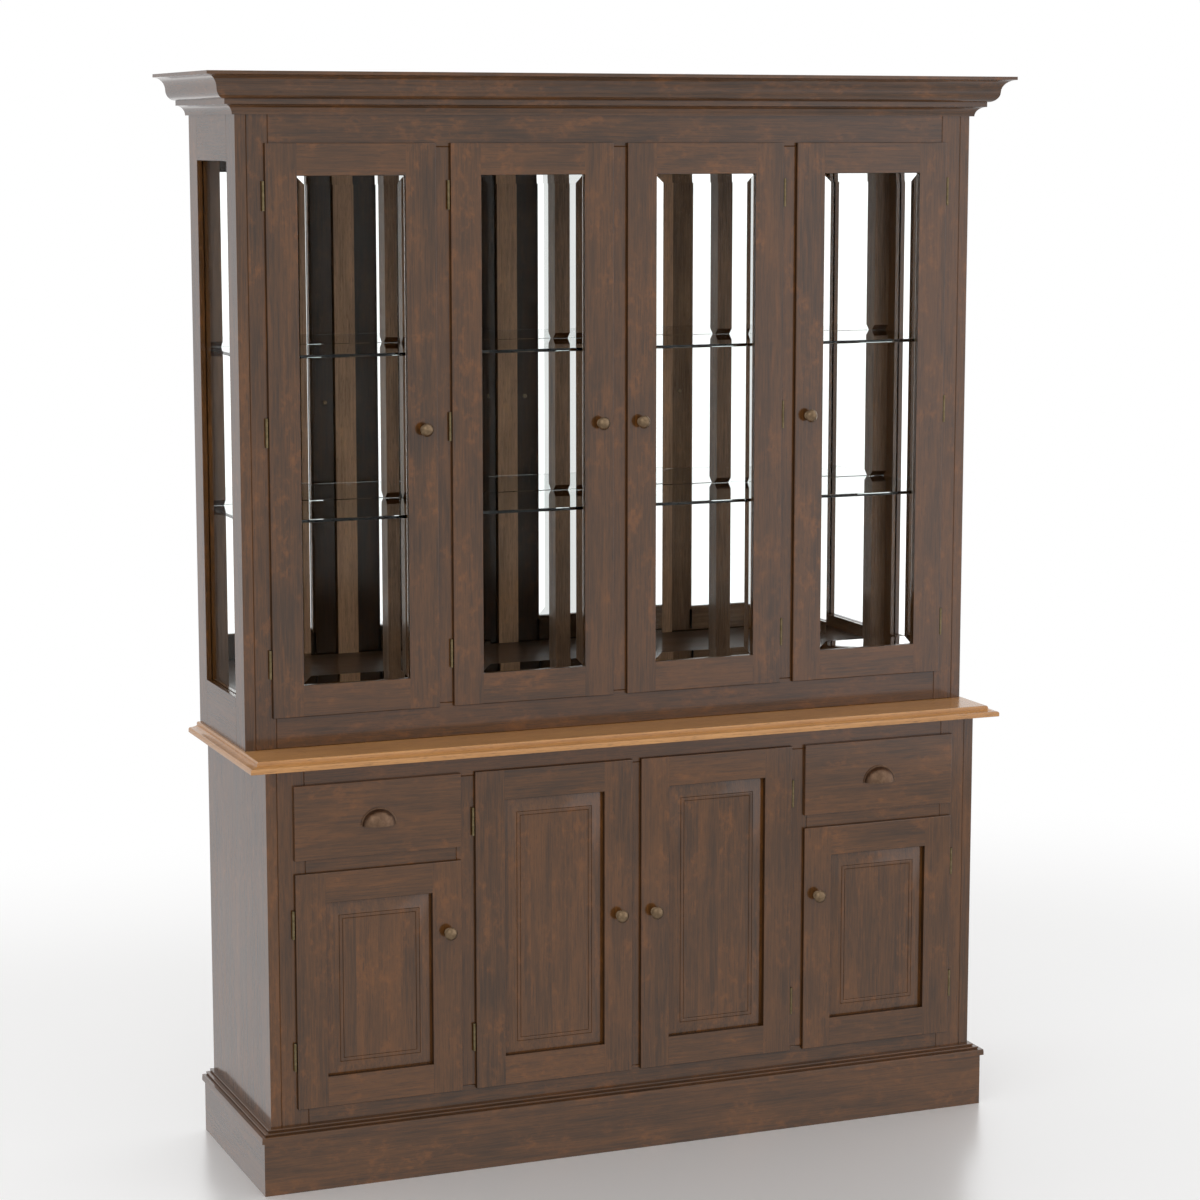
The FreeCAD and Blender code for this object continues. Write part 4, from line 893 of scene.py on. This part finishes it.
def plinth_mould_profile(z):
    """Upright fascia, and above it beads that step back, each over a level ledge."""
    ledge = (MOULD_OVERHANG - MOULD_FASCIA_RUN) / (MOULD_BEADS + 1)
    bead_rise = (MOULD_HEIGHT - MOULD_FASCIA_RISE) / MOULD_BEADS
    start = (MOULD_OVERHANG, z)
    end = (start[0] - MOULD_FASCIA_RUN, z + MOULD_FASCIA_RISE)
    points = [(0, z), start] + bowed_points(start, end, MOULD_BULGE)
    for _ in range(MOULD_BEADS):
        wall = end[0] - ledge
        points += [(wall - MOULD_QUIRK, end[1]), (wall - MOULD_QUIRK, end[1] + MOULD_QUIRK)]
        start = (wall, end[1] + MOULD_QUIRK)
        end = (wall, end[1] + bead_rise)
        points += [start] + bowed_points(start, end, MOULD_BULGE)
    return points + [(0, end[1])]


def plinth_profile(z):
    out = PLINTH_THICK
    top = z + PLINTH_HEIGHT
    points = [(0, z), (out, z), (out, top - PLINTH_EASE)]
    points += arc_points((out - PLINTH_EASE, top - PLINTH_EASE), PLINTH_EASE, 0, 90, EASE_STEPS)
    return points + [(0, top)]


def make_moulding(node, profile, half, face_y):
    """Front length and two returns of a profile (overhang, height), mitred at the corners."""
    back_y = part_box(node)[1].y
    reach = max(point[0] for point in profile) + MITRE_SPARE
    front = prism(profile, lambda out, z: (-half - reach, face_y - out, z),
                  (2 * (half + reach), 0, 0))
    for side in (-1, 1):
        cut_by_plane(front, (side * half, face_y, 0), (side, 1, 0))
    pieces = [board(front, "stain_level")]
    for side in (-1, 1):
        piece = prism(profile, lambda out, z: (side * (half + out), back_y, z),
                      (0, face_y - reach - back_y, 0))
        cut_by_plane(piece, (side * half, face_y, 0), (-side, -1, 0))
        pieces.append(board(piece, "stain_deep"))
    finish_piece(pieces, f"{node}_run", node, smooth=30)


def make_mouldings():
    for node, profile, sides in (("cornice", cornice_profile, "hutch_sides"),
                                 ("plinth_boards", plinth_profile, "base_sides"),
                                 ("plinth_mould", plinth_mould_profile, "base_sides")):
        low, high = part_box(sides)
        make_moulding(node, profile(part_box(node)[0].z), high.x, low.y)


# ==== knobs =====================================================================================
def turned(outline, centre):
    """Solid turned on a lathe: outline of (radius, distance in front) about a level axis."""
    deselect()
    bpy.ops.mesh.primitive_circle_add(vertices=len(outline))
    piece = bpy.context.object
    for vertex, (radius, out) in zip(piece.data.vertices, outline):
        vertex.co = (centre[0] + radius, centre[1] - out, centre[2])
    bpy.ops.object.mode_set(mode="EDIT")
    bpy.ops.mesh.select_mode(type="EDGE")
    bpy.ops.mesh.select_all(action="SELECT")
    bpy.ops.mesh.spin(steps=LATHE_STEPS, angle=2 * pi, center=centre, axis=(0, 1, 0))
    bpy.ops.mesh.select_all(action="SELECT")
    bpy.ops.mesh.remove_doubles(threshold=MERGE_WITHIN)
    bpy.ops.mesh.normals_make_consistent(inside=False)
    bpy.ops.object.mode_set(mode="OBJECT")
    return piece


def knob_outline():
    neck_end = (KNOB_NECK_RADIUS, KNOB_PROJECTION - KNOB_HEAD_HEIGHT)
    edge = (KNOB_RADIUS, KNOB_PROJECTION - KNOB_CROWN_HEIGHT)
    points = [(0, 0), (KNOB_FLANGE_RADIUS, 0), (KNOB_FLANGE_RADIUS, KNOB_FLANGE_THICK),
              (KNOB_NECK_RADIUS, 2 * KNOB_FLANGE_THICK), neck_end]
    points += bowed_points(neck_end, edge, KNOB_SWELL)
    points += bowed_points(edge, (0, KNOB_PROJECTION), KNOB_SWELL)
    return points


def screw_outline(front_y, back_y):
    """Screw head and shank from behind, measured forwards from the front face."""
    depth = back_y - front_y
    return [(0, -depth - SCREW_HEAD_THICK),
            (SCREW_CROWN * SCREW_HEAD_RADIUS, -depth - SCREW_HEAD_THICK),
            (SCREW_HEAD_RADIUS, -depth - SCREW_HEAD_THICK / 2), (SCREW_HEAD_RADIUS, -depth),
            (SCREW_RADIUS, -depth), (SCREW_RADIUS, 0), (0, 0)]


def make_knobs():
    for door in [body for body in bodies if "door" in body]:
        low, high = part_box(f"{door}_knob")
        front_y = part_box(f"{door}_frame")[0].y
        centre = ((low.x + high.x) / 2, front_y, (low.z + high.z) / 2)
        pieces = [turned(knob_outline(), centre),
                  turned(screw_outline(front_y, front_y + DOOR_THICK), centre)]
        finish_piece([paint(piece, "knob_brass") for piece in pieces], f"{door}_turned_knob",
                     f"{door}_knob", smooth=30)


# ==== pieces that keep their shape ==============================================================
FINISH_OF = {
    "hutch_floor_and_top": "stain_ledge", "hutch_back": "stain_inside", "base_back": "stain_inside",
    "hutch_back_posts": "stain_post", "base_sides": "stain_upright", "base_shelves": "stain_level",
    "base_floor_and_partitions": "stain_level", "counter_top": "counter",
    "drawer_runners": "pale_deep", "frame_hinges": "brass", "door_catches": "magnet",
    "hutch_shelf_pins": "steel", "base_shelf_pins": "steel", "hutch_mirror": "mirror",
    "hutch_glass_shelves": "shelf_glass", "hutch_side_glass": "window_glass"}
FINISH_OF_ENDING = {"fittings": "brass", "pull": "bronze", "front": "stain_level",
                    "box": "pale_deep"}


def finish_kept_nodes():
    for name, node in nodes.items():
        finish = FINISH_OF.get(name) or FINISH_OF_ENDING.get(name.split("_")[-1])
        if finish:
            paint(node, finish)


# ==== stage, light and camera ===================================================================
def make_stage():
    """Pale round floor that fades into the white around it."""
    deselect()
    bpy.ops.mesh.primitive_circle_add(vertices=FLOOR_SIDES, radius=FLOOR_RADIUS,
                                      fill_type="NGON")
    floor = bpy.context.object
    floor.name = "studio_floor"
    material, g, shader, output = material_with_shader(
        "pale_floor", Base_Color=FLOOR_COLOR, Roughness=0.5, Specular_IOR_Level=0.0)
    place = g.node("ShaderNodeTexCoord").outputs["Object"]
    parts = g.node("ShaderNodeSeparateXYZ", {"Vector": place}).outputs
    past = [g.math("MAXIMUM", g.math("SUBTRACT", g.math("ABSOLUTE", parts[axis]), half), 0.0)
            for axis, half in (("X", HALF_WIDTH), ("Y", HALF_DEPTH))]
    away = g.math("POWER", g.math("ADD", *[g.math("POWER", gap, 2.0) for gap in past]), 0.5)
    path = g.node("ShaderNodeLightPath").outputs
    shown = g.math("MAXIMUM", path["Is Camera Ray"],
                   g.math("MAXIMUM", path["Is Glossy Ray"], path["Is Transmission Ray"]))
    fade = g.math("MULTIPLY", g.math("MAXIMUM", g.smooth_step(away, *FLOOR_FADE),
                                     g.math("MULTIPLY", path["Is Glossy Ray"], MIRRORED_FADE)),
                  shown)
    # a ray through a pane counts as glossy too, and sees the floor as the camera does
    mirrored = g.math("MAXIMUM", g.math("SUBTRACT", path["Is Glossy Ray"],
                                        path["Is Transmission Ray"]), 0.0)
    tone = g.mix(mirrored, (1, 1, 1), MIRRORED_WHITE)
    white = g.node("ShaderNodeEmission", {"Color": tone, "Strength": 1.0})
    polish = g.node("ShaderNodeBsdfGlossy", {"Color": (1, 1, 1, 1),
                                             "Roughness": FLOOR_GLOSS_ROUGH})
    base = g.mix_shaders(FLOOR_GLOSS, shader.outputs[0], polish.outputs[0])
    g.feed(output, {"Surface": g.mix_shaders(fade, base, white.outputs[0])})
    floor.data.materials.append(material)


def make_world():
    """Even white light; reflections show a room with a bright window to the right in front."""
    world = bpy.data.worlds.new("studio")
    bpy.context.scene.world = world
    world.use_nodes = True
    world.node_tree.nodes.clear()
    g = Graph(world.node_tree)
    way = g.node("ShaderNodeTexCoord").outputs["Generated"]
    parts = g.node("ShaderNodeSeparateXYZ", {"Vector": way}).outputs
    bearing = g.math("ARCTAN2", parts["X"], g.math("MULTIPLY", parts["Y"], -1.0))
    left = g.smooth_step(bearing, *ROOM_LEFT)
    window = g.math("MULTIPLY", g.smooth_step(bearing, *ROOM_RIGHT),
                    g.smooth_step(parts["Z"], *ROOM_RISE))
    seen = g.mix(left, MIRRORED_WHITE, g.mix(window, ROOM_COLOR, WINDOW_COLOR))
    seen = g.mix(g.smooth_step(bearing, *ROOM_REAR), seen, (1, 1, 1))
    glare = g.math("ADD", g.smooth_step(bearing, DIM_BEARINGS[1], BRIGHT_BEARINGS[1]),
                   g.smooth_step(g.math("MULTIPLY", bearing, -1.0), -DIM_BEARINGS[0],
                                 -BRIGHT_BEARINGS[0]))
    beyond = g.math("MULTIPLY_ADD", glare, GLARE, VIEW_DIM)
    path = g.node("ShaderNodeLightPath").outputs

    def backdrop(color, strength):
        return g.node("ShaderNodeBackground", {"Color": color, "Strength": strength}).outputs[0]

    light = backdrop((1, 1, 1, 1), AMBIENT)
    for chosen, color, strength in (("Is Glossy Ray", seen, 1.0),
                                    ("Is Transmission Ray", (1, 1, 1, 1), beyond),
                                    ("Is Camera Ray", (1, 1, 1, 1), 1.0)):
        light = g.mix_shaders(path[chosen], light, backdrop(color, strength))
    g.node("ShaderNodeOutputWorld", {"Surface": light})


def make_lamp(name, place, target, size, power):
    deselect()
    bpy.ops.object.light_add(type="AREA", location=place)
    lamp = bpy.context.object
    lamp.name = name
    lamp.data.size = size
    lamp.data.energy = power
    lamp.rotation_euler = (Vector(target) - Vector(place)).to_track_quat("-Z", "Y").to_euler()


def make_camera():
    deselect()
    bpy.ops.object.camera_add(location=CAMERA_PLACE,
                              rotation=(pi / 2 + CAMERA_PITCH, 0, CAMERA_TURN))
    camera = bpy.context.object
    camera.name = "studio_camera"
    camera.data.angle = CAMERA_FIELD
    camera.data.clip_end = CAMERA_REACH
    bpy.context.scene.camera = camera


make_camera()
make_stage()
make_world()
make_lamp("key_lamp", LAMP_PLACE, LAMP_TARGET, LAMP_SIZE, LAMP_POWER)
bpy.context.scene.view_settings.view_transform = "Standard"
finish_kept_nodes()
make_doors()
make_face_frames()
make_hutch_sides()
make_mouldings()
make_knobs()
